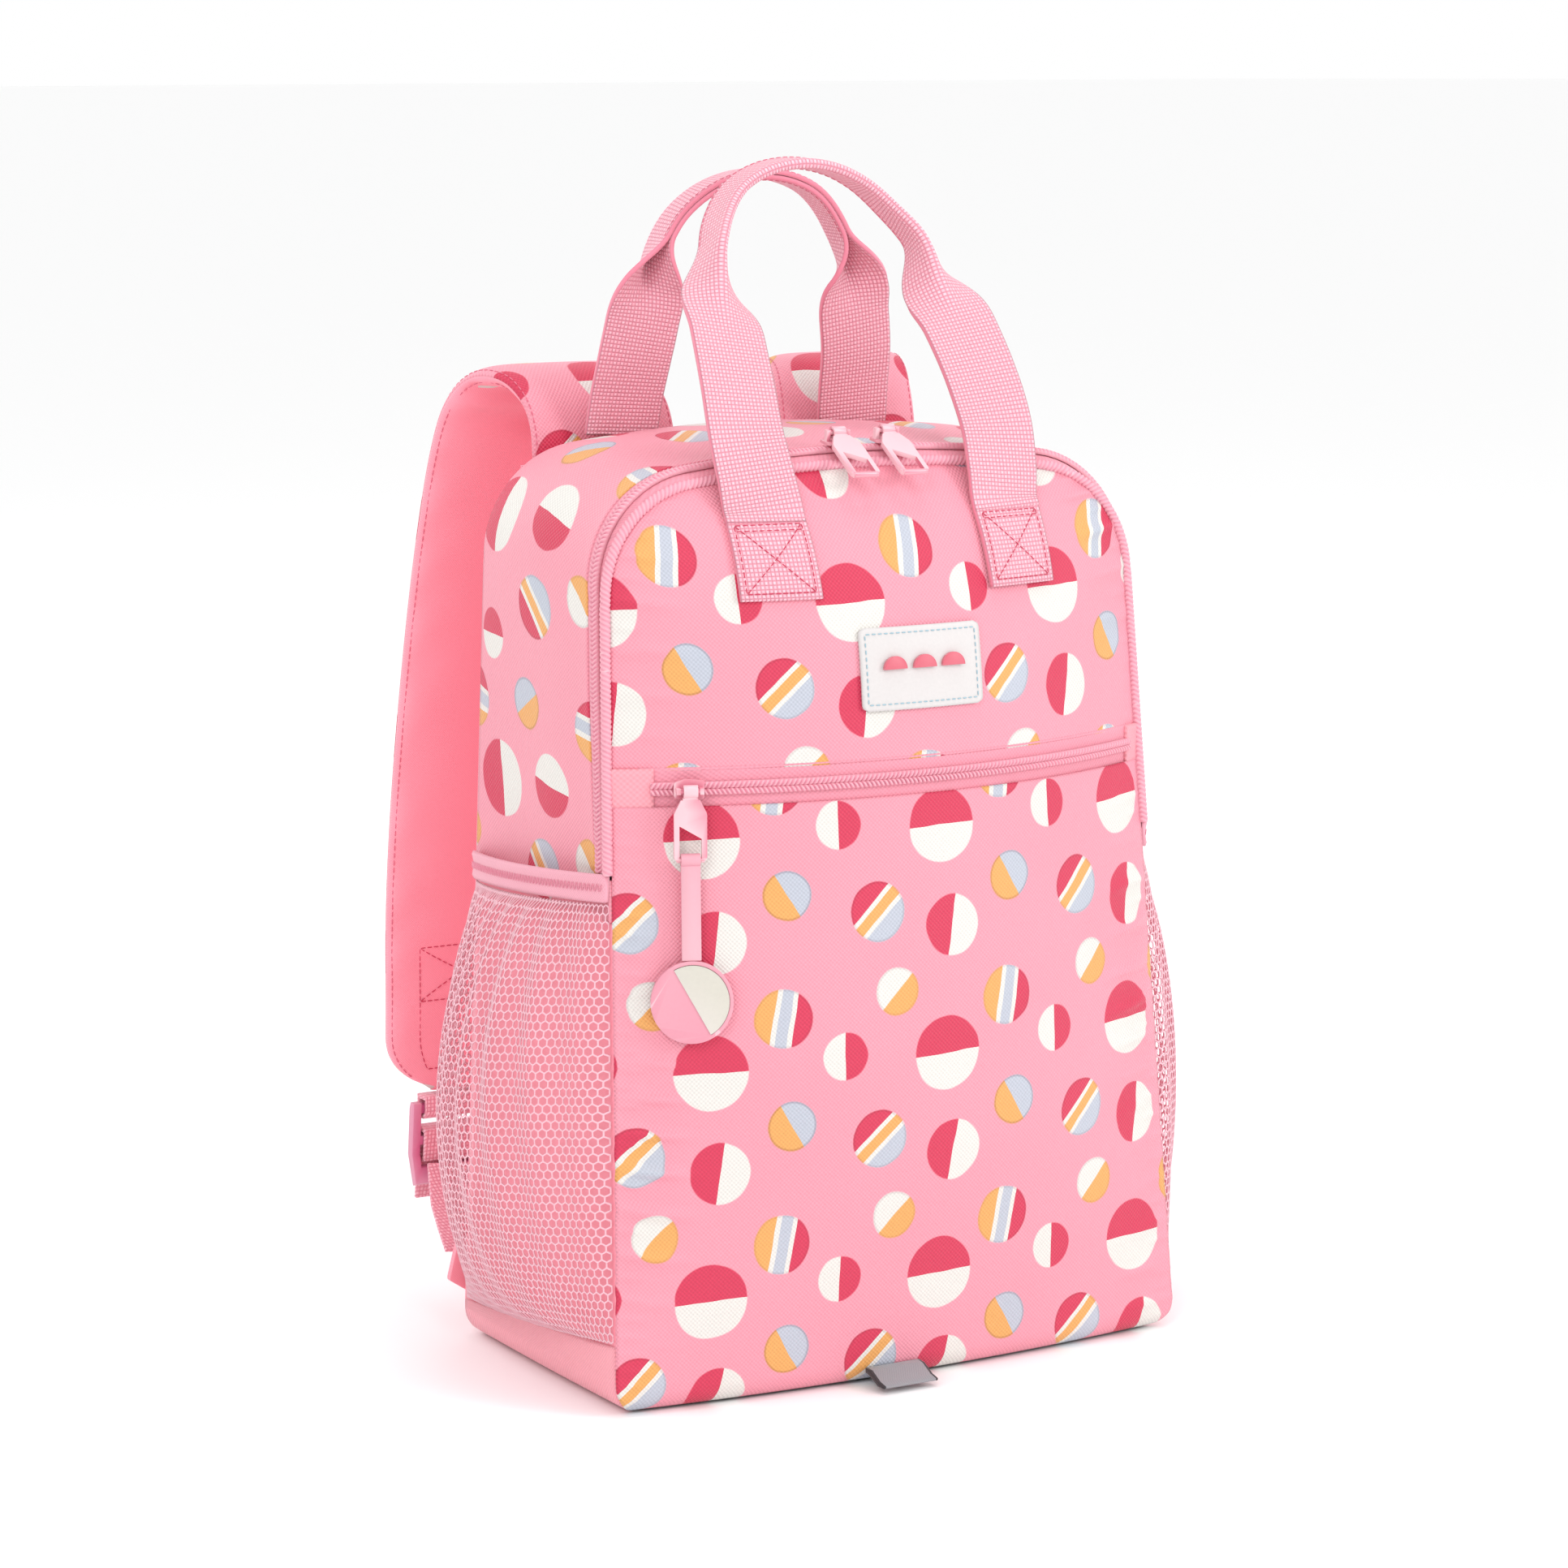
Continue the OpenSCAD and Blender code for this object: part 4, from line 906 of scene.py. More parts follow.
# a closed pad: rows across the back outline, its thickness falling to nothing at the rim
def makeBackPanel():
    plan = backPlan
    t = np.linspace(0, 1, 130)
    top = bag["backTop"] - plan["inset"] - 0.1
    z = plan["inset"] + (top - plan["inset"]) * (0.5 - 0.5 * np.cos(np.pi * t))
    u = np.sin(np.linspace(-np.pi / 2, np.pi / 2, 101))
    half = edgeX(z, bag["backTop"]) - plan["inset"]
    half[0], half[-1] = half[1] * 0.92, min(half[-1], half[-2] * 0.7)
    x = half[:, None] * u[None, :]
    zz = z[:, None] + 0 * x
    rim = (1 - np.abs(u)[None, :] ** 10) * (1 - np.abs(2 * t - 1)[:, None] ** 26)
    valley = sum(np.exp(-((x - c) / plan["groove"]) ** 2) for c in plan["channels"])
    valley += sum(np.exp(-((zz - c) / plan["groove"]) ** 2) for c in plan["rows"])
    # thin under the roots of the straps
    slack = 1 - plan["slack"] * np.clip((zz - plan["slackFrom"]) / plan["slackRise"], 0, 1)
    pad = plan["rim"] + (plan["back"] - plan["front"] - plan["rim"]) * rim**0.5 * slack
    pad = pad - np.minimum(valley, 1) * plan["depth"] * rim * slack
    outer = np.stack([x, plan["front"] + pad, zz], -1)
    inner = np.stack([x, plan["front"] + 0 * x, zz], -1)
    points = np.concatenate([outer.reshape(-1, 3), inner.reshape(-1, 3)])
    rows, columns = x.shape
    faces = gridFaces(rows, columns)
    index = np.arange(rows * columns).reshape(rows, columns)
    ring = np.concatenate([index[0, :-1], index[:-1, -1], index[-1, :0:-1], index[:0:-1, 0]])
    wall = np.stack([ring, np.roll(ring, -1), np.roll(ring, -1) + rows * columns,
                     ring + rows * columns], -1)
    faces = np.concatenate([faces[:, ::-1], faces + rows * columns, wall])
    uv = np.concatenate([outer[..., ::2].reshape(-1, 2), inner[..., ::2].reshape(-1, 2)])
    pad = makePiece("back_pad", points, faces, uv, faces)
    finished(pad, "bag", "plain_polyester", plain, "back_panel")


makeGusset()
makeTray()
makeBackPanel()
for node, finish in (("back_foam", foamSheet), ("back_lining", liningPlain),
                     ("seam_binding", liningPlain), ("base_board", boardSheet)):
    nodes[node].data.materials.clear()
    nodes[node].data.materials.append(finish)
print("gusset, tray and back ready")

zipPlan = {
    "chain": 7.1, "gap": 1.0, "split": 0.12, "tapeLift": 0.35, "tapeThick": 0.8, "tapeUnder": 2.5,
    "pitch": 1.8, "coilWidth": 2.7, "coilHeight": 2.1, "slant": 0.62, "ribShare": 0.55, "sink": -0.4,
    "beadRadius": 2.0, "beadPitch": 1.9, "beadSides": 16, "beadTurn": 0.75,
}


# half a chain: a round-backed ridge whose height ripples in ribs that slant away from the middle
def coil(name, path, up, side, body, node):
    wide, high, pitch = zipPlan["coilWidth"], zipPlan["coilHeight"], zipPlan["pitch"]
    count = int(lengthAlong(path)[-1] / pitch * 6)
    both = evenly(np.concatenate([path, up], 1), count)
    path, up = both[:, :3], unit(both[:, 3:])
    across = unit(np.cross(up, tangents(path))) * side
    along = lengthAlong(path)[:, None]
    a = np.linspace(0, np.pi, 9)[None, :]
    u = wide * (0.5 - 0.5 * np.cos(a))
    rib = np.abs(np.cos(np.pi * (along - zipPlan["slant"] * u) / pitch)) ** 0.7
    h = high * np.sin(a) ** 0.6 * (1 - zipPlan["ribShare"] * (1 - rib)) + 0.1
    h[:, 0], h[:, -1] = zipPlan["sink"], zipPlan["sink"]
    grid = (path[:, None, :] + across[:, None, :] * (u + 0 * h)[..., None]
            + up[:, None, :] * h[..., None])
    ridge = surface(name, grid, wrapColumns=True, ends=True)
    return finished(ridge, body, "zip_coil", coilNylon, node)


# several meshes made one object
def joined(piece, *others):
    bpy.ops.object.select_all(action="DESELECT")
    for other in (piece, *others):
        other.select_set(True)
    bpy.context.view_layer.objects.active = piece
    bpy.ops.object.join()
    return piece


# the tapes, the two halves of the chain and the bead, all run round the gusset's front edge
def makeMainZip():
    plan = zipPlan
    front, back = gussetPaths(bag["foldHeight"] + 0.6, 60)
    every = np.ones((len(front), 1))

    def line(d, out):  # a line round the gusset, d behind the front seam
        return sidePoint(front, back, d * every, out * every)[:, 0]
    for name, near, far, body in (
            ("rear", plan["chain"] + plan["gap"] / 2, gussetPlan["zipReach"] + plan["tapeUnder"], "bag"),
            ("front", -0.3, plan["chain"] - plan["gap"] / 2, "front_flap")):
        rows = np.stack([line(d, plan["tapeLift"]) for d in np.linspace(near, far, 7)], 1)
        tape = surface(f"main_tape_{name}", rows, away=(0, 0, 200))
        finished(thicken(tape, plan["tapeThick"]), body, "zip_tape", tapeCloth, f"zip_tape_{name}")
    up = unit(line(plan["chain"], 3) - line(plan["chain"], 0))
    for name, side, body in (("rear", -1, "bag"), ("front", 1, "front_flap")):
        coil(f"main_coil_{name}", line(plan["chain"] - side * plan["split"], 0.5), up, side, body,
             f"zip_coil_{name}")
    # the bead round the front panel: a cord whose radius ripples in ribs that meet on its ridge
    normal = np.stack([front[:, 2], 0 * front[:, 2], front[:, 3]], -1)
    both = evenly(np.concatenate([line(0, 1.5) + [0, 0.5, 0], normal], 1), 2600)
    path, raised = both[:, :3], unit(both[:, 3:])
    side = unit(np.cross(tangents(path), raised))
    sides = plan["beadSides"]
    turn = (np.arange(sides) - sides // 2) * 2 * np.pi / sides
    fromRidge = np.abs(turn + plan["beadTurn"])
    fromRidge = np.abs(fromRidge - np.pi * (fromRidge > np.pi) * 2)
    rib = np.abs(np.cos(np.pi * (lengthAlong(path)[:, None] / plan["beadPitch"] + 0.5 * fromRidge)))
    radius = plan["beadRadius"] * (0.80 + 0.26 * rib**0.7)
    grid = path[:, None, :] + radius[..., None] * (
        np.cos(turn)[None, :, None] * raised[:, None, :] + np.sin(turn)[None, :, None]
        * side[:, None, :])
    bead = surface("front_bead", grid, wrapColumns=True, ends=True)
    finished(bead, "front_flap", "zip_tape", beadCloth, "front_piping")


makeMainZip()
print("main zip ready")

zipHeight = (bandLow + bandHigh) / 2
zipRadius = float(rowRadius(zipHeight))
pocketZip = {
    "height": zipHeight, "radius": zipRadius, "leftTab": 3.4, "rightTab": 1.6,  # tabs and edge in degrees
    "axisY": float(seamY(zipHeight) - swell(zipHeight) + zipRadius),
    "edge": math.degrees(math.asin(float(edgeX(zipHeight, bag["frontTop"])) / zipRadius)),
    "tapeSink": 0.6, "tapeOver": 1.5, "tabLift": 0.6, "tabOver": 1.2, "tabThick": 1.8,
}


# a level line on the zip's cylinder, between two angles about its upright axis
def zipArc(a0, a1, radius, z, count=120):
    a = np.radians(np.linspace(a0, a1, count))
    path = np.stack([radius * np.sin(a), pocketZip["axisY"] - radius * np.cos(a), z + 0 * a], -1)
    normal = np.stack([np.sin(a), -np.cos(a), 0 * a], -1)
    return path, normal


# two tapes with a coil each, level across the front, and a sewn tab over each end
def makePocketZip():
    plan = pocketZip
    edge, radius, z = plan["edge"], plan["radius"], plan["height"]
    left, right = -edge + plan["leftTab"], edge - plan["rightTab"]
    over, gap = plan["tapeOver"], zipPlan["gap"] / 2
    pieces = []
    for low, high in ((bandLow - over, z - gap), (z + gap, bandHigh + over)):
        rows = np.stack([zipArc(left - 1, right + 1, radius - plan["tapeSink"], h)[0]
                         for h in np.linspace(low, high, 6)], 1)
        pieces.append(surface("pocket_tape", rows, away=(0, 0, 238)))
    tape = joined(*pieces)
    finished(thicken(tape, zipPlan["tapeThick"]), "front_flap", "zip_tape", tapeCloth,
             "pocket_zip_tape")
    for side, name in ((-1, "lower"), (1, "upper")):
        path, normal = zipArc(left, right, radius - 0.1, z + side * zipPlan["split"], 240)
        coil(f"pocket_coil_{name}", path, normal, -side, "front_flap", "pocket_zip_coil")
    over = plan["tabOver"]
    for name, a0, a1 in (("left", -edge - 0.25, left + 0.3), ("right", right - 0.3, edge + 0.25)):
        rows = np.stack([zipArc(a0, a1, radius + plan["tabLift"], h, 10)[0]
                         for h in np.linspace(bandLow - over, bandHigh + over, 8)], 1)
        uv = np.stack(np.meshgrid(np.linspace(0, 12, 8), np.linspace(0, 12, 10)), -1) + 20
        tab = surface(f"pocket_zip_tab_{name}", rows, uv, away=(0, 0, 238))
        finished(thicken(tab, plan["tabThick"]), "front_flap", "printed_polyester", trayCloth,
                 "pocket_zip_tabs")


makePocketZip()
print("pocket zip ready")

for node, width in (("main_slider_left", 0.3), ("main_slider_right", 0.3), ("pocket_slider", 0.15),
                    ("main_puller_left", 0.35), ("main_puller_right", 0.35),
                    ("pocket_puller", 0.15)):
    finished(rounded(node + "_cast", node, width), nodes[node]["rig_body"], "painted_zinc", zincPaint,
             node)
for name, node, width, slot, finish in (
        ("charm_loop", "charm_strap", 0.4, "charm_pink", charmPink),
        ("charm_round", "charm_disc", 0.5, "charm_pink", charmPink),
        ("charm_half", "charm_inlay", 0.3, "charm_ivory", charmIvory)):
    finished(rounded(name, node, width), "charm", slot, finish, node)
print("hardware ready")

labelPlan = {"left": -25, "right": 29, "low": 264.5, "high": 296, "corner": 2.5, "border": 2.4,
             "lift": 1.6, "thick": 1.4, "threadLift": 1.65}


# a straight line between two points of the front view, laid on the front and lifted off it
def frontLine(a, b, out, count):
    line = np.array(a) + (np.array(b) - np.array(a)) * np.linspace(0, 1, count)[:, None]
    x, z = line[:, 0], line[:, 1]
    return np.stack([x, frontY(x, z) - out, z], -1), frontNormal(x, z)


# a rounded rectangle: rows whose ends draw in along quarter circles at the corners
def makeLabel():
    left, right, low, high = (labelPlan[k] for k in ("left", "right", "low", "high"))
    corner = labelPlan["corner"]
    z = low + (high - low) * np.linspace(0, 1, 30)
    nearEnd = np.maximum(0, corner - np.minimum(z - low, high - z))
    draw = corner - np.sqrt(corner**2 - nearEnd**2)
    x = (left + draw)[:, None] + (right - left - 2 * draw)[:, None] * np.linspace(0, 1, 40)[None]
    z = z[:, None] + 0 * x
    grid = np.stack([x, frontY(x, z) - labelPlan["lift"], z], -1)
    label = surface("label", grid, grid[..., ::2])
    finished(thicken(label, labelPlan["thick"]), "front_flap", "label", labelWhite, "label_patch")
    inset = labelPlan["border"]
    corners = [(left + inset, low + inset), (right - inset, low + inset),
               (right - inset, high - inset), (left + inset, high - inset)]
    rows = [frontLine(a, b, labelPlan["threadLift"], 30)
            for a, b in zip(corners, corners[1:] + corners[:1])]
    border = stitches("label_stitches", rows, length=1.7, gap=0.9, radius=0.28)
    finished(border, "front_flap", "label", threadBlue)
    finished(rounded("label_half_discs", "label_emblem", 0.25), "front_flap", "emblem",
             emblemRed, "label_emblem")


makeLabel()
print("label ready")

handlePlan = {
    "width": 32, "thick": 2.0, "foldLow": 405, "foldHigh": 441, "halfSpacing": 54,
    "endLow": 308, "endHigh": 337, "endOver": 2.5, "endLift": 2.4, "endThick": 2.2,
    "edgeRadius": 1.2, "layerGap": 1.15, "curveBelow": 368, "curveFade": 30,
    "boxHalf": 13.5, "boxLow": 2.5, "boxHigh": 1.5, "boxLift": 2.45, "hem": 3.6,
    "seamIn": 2.0, "seamLift": 2.2, "rootLift": 1.6, "nextZ": 341, "nextLift": 2.4,
}
# each handle's path from one leg to the middle of its top; the front one starts on the bag's front
frontHandleHalf = [(55, -54.5, 352), (56, -48, 369), (54.5, -38.5, 388), (52, -26, 407),
                   (49, -13.5, 423), (45.5, -4, 438), (38, 4.5, 450), (28, 9.5, 460),
                   (15, 11, 466.3), (0, 11, 468.5)]
rearHandleHalf = [(53.5, 58.3, 360.4), (52.5, 55, 376), (51, 50.5, 392), (48.5, 48, 408),
                  (46.5, 47.5, 423), (42.5, 47, 435), (35, 46, 447.5), (25, 43.5, 456.5),
                  (13, 42.3, 461.7), (0, 42, 463.5)]


# webbing carried along a path and folded in half: each wing turns back by the fold's angle
def handleLoop(name, half, facingY):
    plan = handlePlan
    path = smoothPath([(-x, y, z) for x, y, z in half] + half[-2::-1], 260)
    ahead = tangents(path)
    out = unit(np.array([0, facingY, 0]) - ahead * (ahead[:, 1:2] * facingY))
    wide = np.cross(out, ahead)
    share = np.clip((path[:, 2] - plan["foldLow"]) / (plan["foldHigh"] - plan["foldLow"]), 0, 1)
    share = share**2 * (3 - 2 * share)
    angle = share[:, None] * np.pi / 2
    q = np.linspace(-plan["width"] / 2, plan["width"] / 2, 33)[None, :]
    bend = np.sqrt(q**2 + plan["edgeRadius"]) - math.sqrt(plan["edgeRadius"])
    across = q * np.cos(angle) + plan["layerGap"] * share[:, None] * np.tanh(q / plan["edgeRadius"])
    depth = -bend * np.sin(angle) + share[:, None] * plan["width"] / 4
    grid = (path[:, None, :] + across[..., None] * wide[:, None, :]
            + depth[..., None] * out[:, None, :])
    if facingY < 0:  # the low ends bend round the front's own curve
        near = np.clip((plan["curveBelow"] - grid[..., 2]) / plan["curveFade"], 0, 1) ** 2
        level = 0 * grid[..., 0] + plan["endHigh"]
        curve = frontY(grid[..., 0], level) - frontY(0 * level + plan["halfSpacing"], level)
        grid[..., 1] += near * curve
    uv = np.stack([q + 0 * across, lengthAlong(path)[:, None] + 0 * q], -1)
    loop = surface(name, grid, uv, away=(0, 0 if facingY < 0 else 60, 330))
    return loop, path, wide, out, share


# a handle's loop, its placement baked into its mesh, with two rows of stitches along its grip
def makeGrip(name, half, facingY, root, start, end, *replaced):
    loop, path, wide, out, share = handleLoop(f"{name}_web", half, facingY)
    finished(thicken(loop, handlePlan["thick"], inward=False), None, "webbing", webbing, *replaced)
    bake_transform(loop)
    folded = share > 0.98
    edge = path + out * (-handlePlan["width"] / 4 + handlePlan["seamIn"])
    rows = [(edge[folded] + wide[folded] * s * handlePlan["seamLift"], wide[folded] * s)
            for s in (-1, 1)]
    seam = stitches(name.replace("handle", "grip") + "_stitches", rows)
    finished(seam, name, "webbing", threadPink)


# webbing laid flat on the front
def webPatch(name, x0, low, high, out):
    half = handlePlan["width"] / 2
    z = np.linspace(low, high, 24)[:, None] + np.zeros((1, 25))
    x = x0 + np.linspace(-half, half, 25)[None, :] + 0 * z
    return surface(name, np.stack([x, frontY(x, z) - out, z], -1), np.stack([x - x0, z], -1))


def makeHandles():
    plan = handlePlan
    spacing, low, high = plan["halfSpacing"], plan["endLow"], plan["endHigh"]
    rootY = float(frontY(np.float64(spacing), high - 1)) - plan["rootLift"]
    nextY = float(frontY(np.float64(spacing), plan["nextZ"])) - plan["nextLift"]
    half = [(spacing, rootY, high - 1), (spacing, nextY, plan["nextZ"])] + frontHandleHalf
    makeGrip("front_handle", half, -1, "front_flap", (0, rootY * mm, 0.337),
             (0, rootY * mm, 0.348), "front_handle_loop")
    makeGrip("rear_handle", rearHandleHalf, 1, "bag", (0, 0.058, 0.361), (0, 0.058, 0.372),
             "rear_handle_loop", "rear_handle_ends")
    # the front handle's sewn ends, each with a crossed box and a hem line
    ends, boxes = [], []
    for x in (-spacing, spacing):
        ends.append(webPatch("front_handle_end", x, low, high + plan["endOver"], plan["endLift"]))
        left, right = x - plan["boxHalf"], x + plan["boxHalf"]
        foot, top, hem = low + plan["boxLow"], high - plan["boxHigh"], high - plan["hem"]
        corners = [(left, foot), (right, foot), (right, top), (left, top)]
        for a, b in ((0, 1), (1, 2), (2, 3), (3, 0), (0, 2), (1, 3)):
            boxes.append(frontLine(corners[a], corners[b], plan["boxLift"], 20))
        boxes.append(frontLine((left, hem), (right, hem), plan["boxLift"] + 0.05, 20))
    patch = joined(*ends)
    finished(thicken(patch, plan["endThick"]), "front_flap", "webbing", webbing,
             "front_handle_ends")
    crosses = stitches("handle_box_stitches", boxes, length=2.2, gap=0.7)
    finished(crosses, "front_flap", "webbing", threadDark)


makeHandles()
print("handles ready")

pocketPlan = {
    "bulge": 37, "mouth": 8, "topFront": 205, "topBack": 197, "hem": 9, "footFront": 27.5,
    "footBack": 16, "lift": 0.4, "pleats": 8, "pleatDepth": 3.0,
    "wide": 152, "tall": 178, "cell": (2.75, 4.4), "strand": 0.22, "netLift": 0.4, "netThick": 0.5,
    # the elastic's outline: out from the cloth, up from the hem
    "elastic": [(0.0, 0.3), (1.9, 0.0), (2.5, 1.5), (2.1, 3.2), (1.7, 5.6), (2.1, 8.0), (2.5, 9.6),
                (1.9, 10.9), (0.0, 10.6), (0.0, 5.5)],
    "zigzag": {"count": 96, "middle": 5.6, "swing": 1.9, "lift": 2.25},
}


# the pocket's skin: t up, s front to back; a swell by height times a sine across, less the pleats
def pocketPoint(t, s, out):
    plan = pocketPlan
    t, s = np.clip(t, 0, 1), np.clip(s, 0, 1)
    zFront = plan["footFront"] + (plan["topFront"] - plan["hem"] - plan["footFront"]) * t
    zBack = plan["footBack"] + (plan["topBack"] - plan["hem"] - plan["footBack"]) * t
    bulge, mouth = plan["bulge"], plan["mouth"]
    low = bulge * np.sin(np.pi * np.clip(t, 0, 0.5)) ** 0.5
    high = mouth + (bulge - mouth) * np.maximum(0, np.cos(np.pi * (np.clip(t, 0.5, 1) - 0.5))) ** 0.6
    full = np.where(t < 0.5, low, high)
    yFront = seamY(zFront) + 1
    wave = np.sin(np.pi * s)
    pleat = np.cos(2 * np.pi * plan["pleats"] * s + 1.2 * np.sin(3 * t + 5 * s))
    gather = plan["pleatDepth"] * pleat * wave**0.5 * (0.25 + 0.75 * t**1.5) * np.sin(
        np.pi * np.clip(t * 1.02, 0, 1)) ** 0.35
    wall = halfWidth(zFront) * (1 - s) + halfWidth(zBack) * s
    x = -wall - plan["lift"] - out - full * wave**0.75 + gather
    return np.stack([x, yFront + s * (bag["backY"] - 3 - yFront), zFront * (1 - s) + zBack * s], -1)


# hexagons in flat cloth, each drawn as a ring of six bars, merged where they meet, then laid
# on the skin
def hexNet(name, side):
    wide, tall = pocketPlan["cell"]
    columns, rows = int(pocketPlan["wide"] / wide) + 2, int(pocketPlan["tall"] / tall / 0.75) + 2
    i, j = np.meshgrid(np.arange(columns), np.arange(rows), indexing="ij")
    centre = np.stack([(i + 0.5 * (j % 2)) * wide, j * 0.75 * tall], -1).reshape(-1, 1, 2)
    turn = np.radians([30, 90, 150, 210, 270, 330])
    corner = np.stack([np.cos(turn) * wide / math.sqrt(3), np.sin(turn) * tall / 2], -1)
    outer = centre + corner[None]
    inner = centre + corner[None] * (1 - pocketPlan["strand"] / (wide / 2))
    flat = np.concatenate([outer, inner], 1).reshape(-1, 2)
    # corners within a twentieth of a millimetre of each other are one
    _, first, where = np.unique(np.round(flat * 20).astype(int), axis=0, return_index=True,
                                return_inverse=True)
    base = np.arange(len(centre))[:, None] * 12
    k = np.arange(6)
    quads = np.stack([base + k, base + (k + 1) % 6, base + 6 + (k + 1) % 6, base + 6 + k], -1)
    quads = where.reshape(-1)[quads.reshape(-1, 4)]
    flat = flat[first]
    s, t = flat[:, 0] / pocketPlan["wide"], flat[:, 1] / pocketPlan["tall"]
    inside = (s > -0.004) & (s < 1.004) & (t > -0.004) & (t < 1.004)
    quads = quads[inside[quads].all(1)]
    points = pocketPoint(t, s, pocketPlan["netLift"])
    points[:, 0] *= -side
    normal, middle = facing(points, quads)
    if (normal * (middle - [0, 0, 100])).sum() < 0:
        quads = quads[:, ::-1]
    used, quads = np.unique(quads, return_inverse=True)
    return makePiece(name, points[used], quads.reshape(-1, 4))


# for each side: the net, the elastic round its top and the zigzag sewn along the elastic
def makePockets():
    plan, zigzag = pocketPlan, pocketPlan["zigzag"]
    for side, name in ((-1, "left"), (1, "right")):
        net = hexNet(f"{name}_net", side)
        finished(thicken(net, plan["netThick"]), "bag", "mesh", netThread, f"{name}_mesh_pocket")
        s = np.linspace(0, 1, 90)
        grid = np.stack([pocketPoint(1.0, s, out) + [0, 0, up] for out, up in plan["elastic"]], 1)
        grid[..., 0] *= -side
        uv = np.stack(np.meshgrid(np.linspace(0, 24, 11), np.linspace(0, 150, 90)), -1)
        band = surface(f"{name}_elastic", grid, uv, wrapColumns=True, ends=True)
        finished(band, "bag", "elastic", elasticCloth, f"{name}_pocket_elastic")
        count = zigzag["count"]
        path = pocketPoint(1.0, np.linspace(0.01, 0.99, count), zigzag["lift"])
        path[:, 2] += zigzag["middle"] + zigzag["swing"] * (-1.0) ** np.arange(count)
        path[:, 0] *= -side
        outward = np.tile([float(side), 0, 0], (count, 1))
        rows = [(path[k:k + 2], outward[k:k + 2]) for k in range(count - 1)]
        sewn = stitches(f"{name}_elastic_zigzag", rows, length=3.0, gap=0.6, radius=0.26)
        finished(sewn, "bag", "elastic", threadSoft)


makePockets()
print("side pockets ready")

strapPlan = {
    "halfWidth": 32, "rootThick": 1.9, "foldThick": 2.3, "thick": 4.5, "tipThick": 2.4,
    "roundEnd": 24, "cloth": 0.8, "core": 0.7, "spotX": 10, "spotZ": 30, "creases": 1.2,
    "seamColumn": 4, "boxColumn": 12, "boxFrom": 120, "boxHeights": (150, 128, 100),
}
strapPath = [(-57, 66, 352), (-57, 67.4, 363), (-58, 72, 373), (-60.5, 79.5, 380),
             (-63.5, 88.5, 383), (-67, 98.5, 382.5), (-70.5, 108, 377), (-73.5, 115, 367),
             (-76.5, 118.5, 352), (-80, 120, 332), (-84.5, 120, 305), (-89, 119, 276),
             (-93.5, 117, 246), (-97.5, 115, 216), (-101, 112.5, 186), (-103.5, 110, 158),
             (-105, 107.5, 130), (-106, 106, 112), (-106.5, 105, 100), (-107, 104.3, 91)]


# strap skin: each cross line bulges by a flattened dome, and the lower end is rounded in plan;
# creases cross it near its edges, and more strongly where it arches over the shoulder
def strapSkin(side, sign, shrink=1.0, count=230, columns=41, creases=0.0):
    path = smoothPath(strapPath, count)
    ahead = tangents(path)
    up = unit(np.cross([1.0, 0, 0], ahead)) * sign
    along = lengthAlong(path)
    left = along[-1] - along
    plan = strapPlan
    taper = 1 - (1 - np.clip(left / plan["roundEnd"], 0, 1)) ** 2.2
    width = plan["halfWidth"] * np.sqrt(np.clip(taper, 0.14, 1))
    thick = np.interp(along, [0, 14, 34, along[-1] - 14, along[-1]],
                      [plan[k] for k in ("rootThick", "foldThick", "thick", "thick", "tipThick")])
    c = np.sin(np.linspace(-np.pi / 2, np.pi / 2, columns))[None, :]
    dome = (1 - np.abs(c) ** 5) ** 0.42
    lift = thick[:, None] * shrink * dome
    if creases:
        wave = np.sin(along / 5.2 + 1.3 * np.sin(along / 23))[:, None] * np.exp(
            -((np.abs(c) - 0.82) / 0.3) ** 2)
        arch = np.exp(-((along - 55) / 38) ** 2)[:, None]
        lift = lift + creases * dome * (wave * 0.5 + np.sin(along / 3.4)[:, None] * arch)
    x = path[:, :1] + (width * (1 - (1 - shrink) * 0.1))[:, None] * c
    grid = np.stack([x + 0 * lift, path[:, 1:2] + up[:, 1:2] * lift,
                     path[:, 2:3] + up[:, 2:3] * lift], -1)
    uv = np.stack([(x - path[:, :1]) - plan["spotX"], along[:, None] - plan["spotZ"] + 0 * x], -1)
    grid[..., 0] *= -side
    return grid, uv, path, up


# a line across a grid's surface, between its own lines where need be
def gridLine(grid, rows, columns, count=30):
    i, j = np.linspace(*rows, count), np.linspace(*columns, count)
    i0, j0 = np.minimum(i.astype(int), len(grid) - 2), np.minimum(j.astype(int), grid.shape[1] - 2)
    u, v = (i - i0)[:, None], (j - j0)[:, None]
    return ((grid[i0, j0] * (1 - v) + grid[i0, j0 + 1] * v) * (1 - u)
            + (grid[i0 + 1, j0] * (1 - v) + grid[i0 + 1, j0 + 1] * v) * u)


# a strap skin's faces, turned to look the way the skin bulges
def facesAlong(grid, up):
    faces = gridFaces(*grid.shape[:2])
    normal, _ = facing(grid.reshape(-1, 3), faces)
    if (normal * np.repeat(up[:-1], grid.shape[1] - 1, axis=0)).sum() < 0:
        faces = faces[:, ::-1]
    return faces


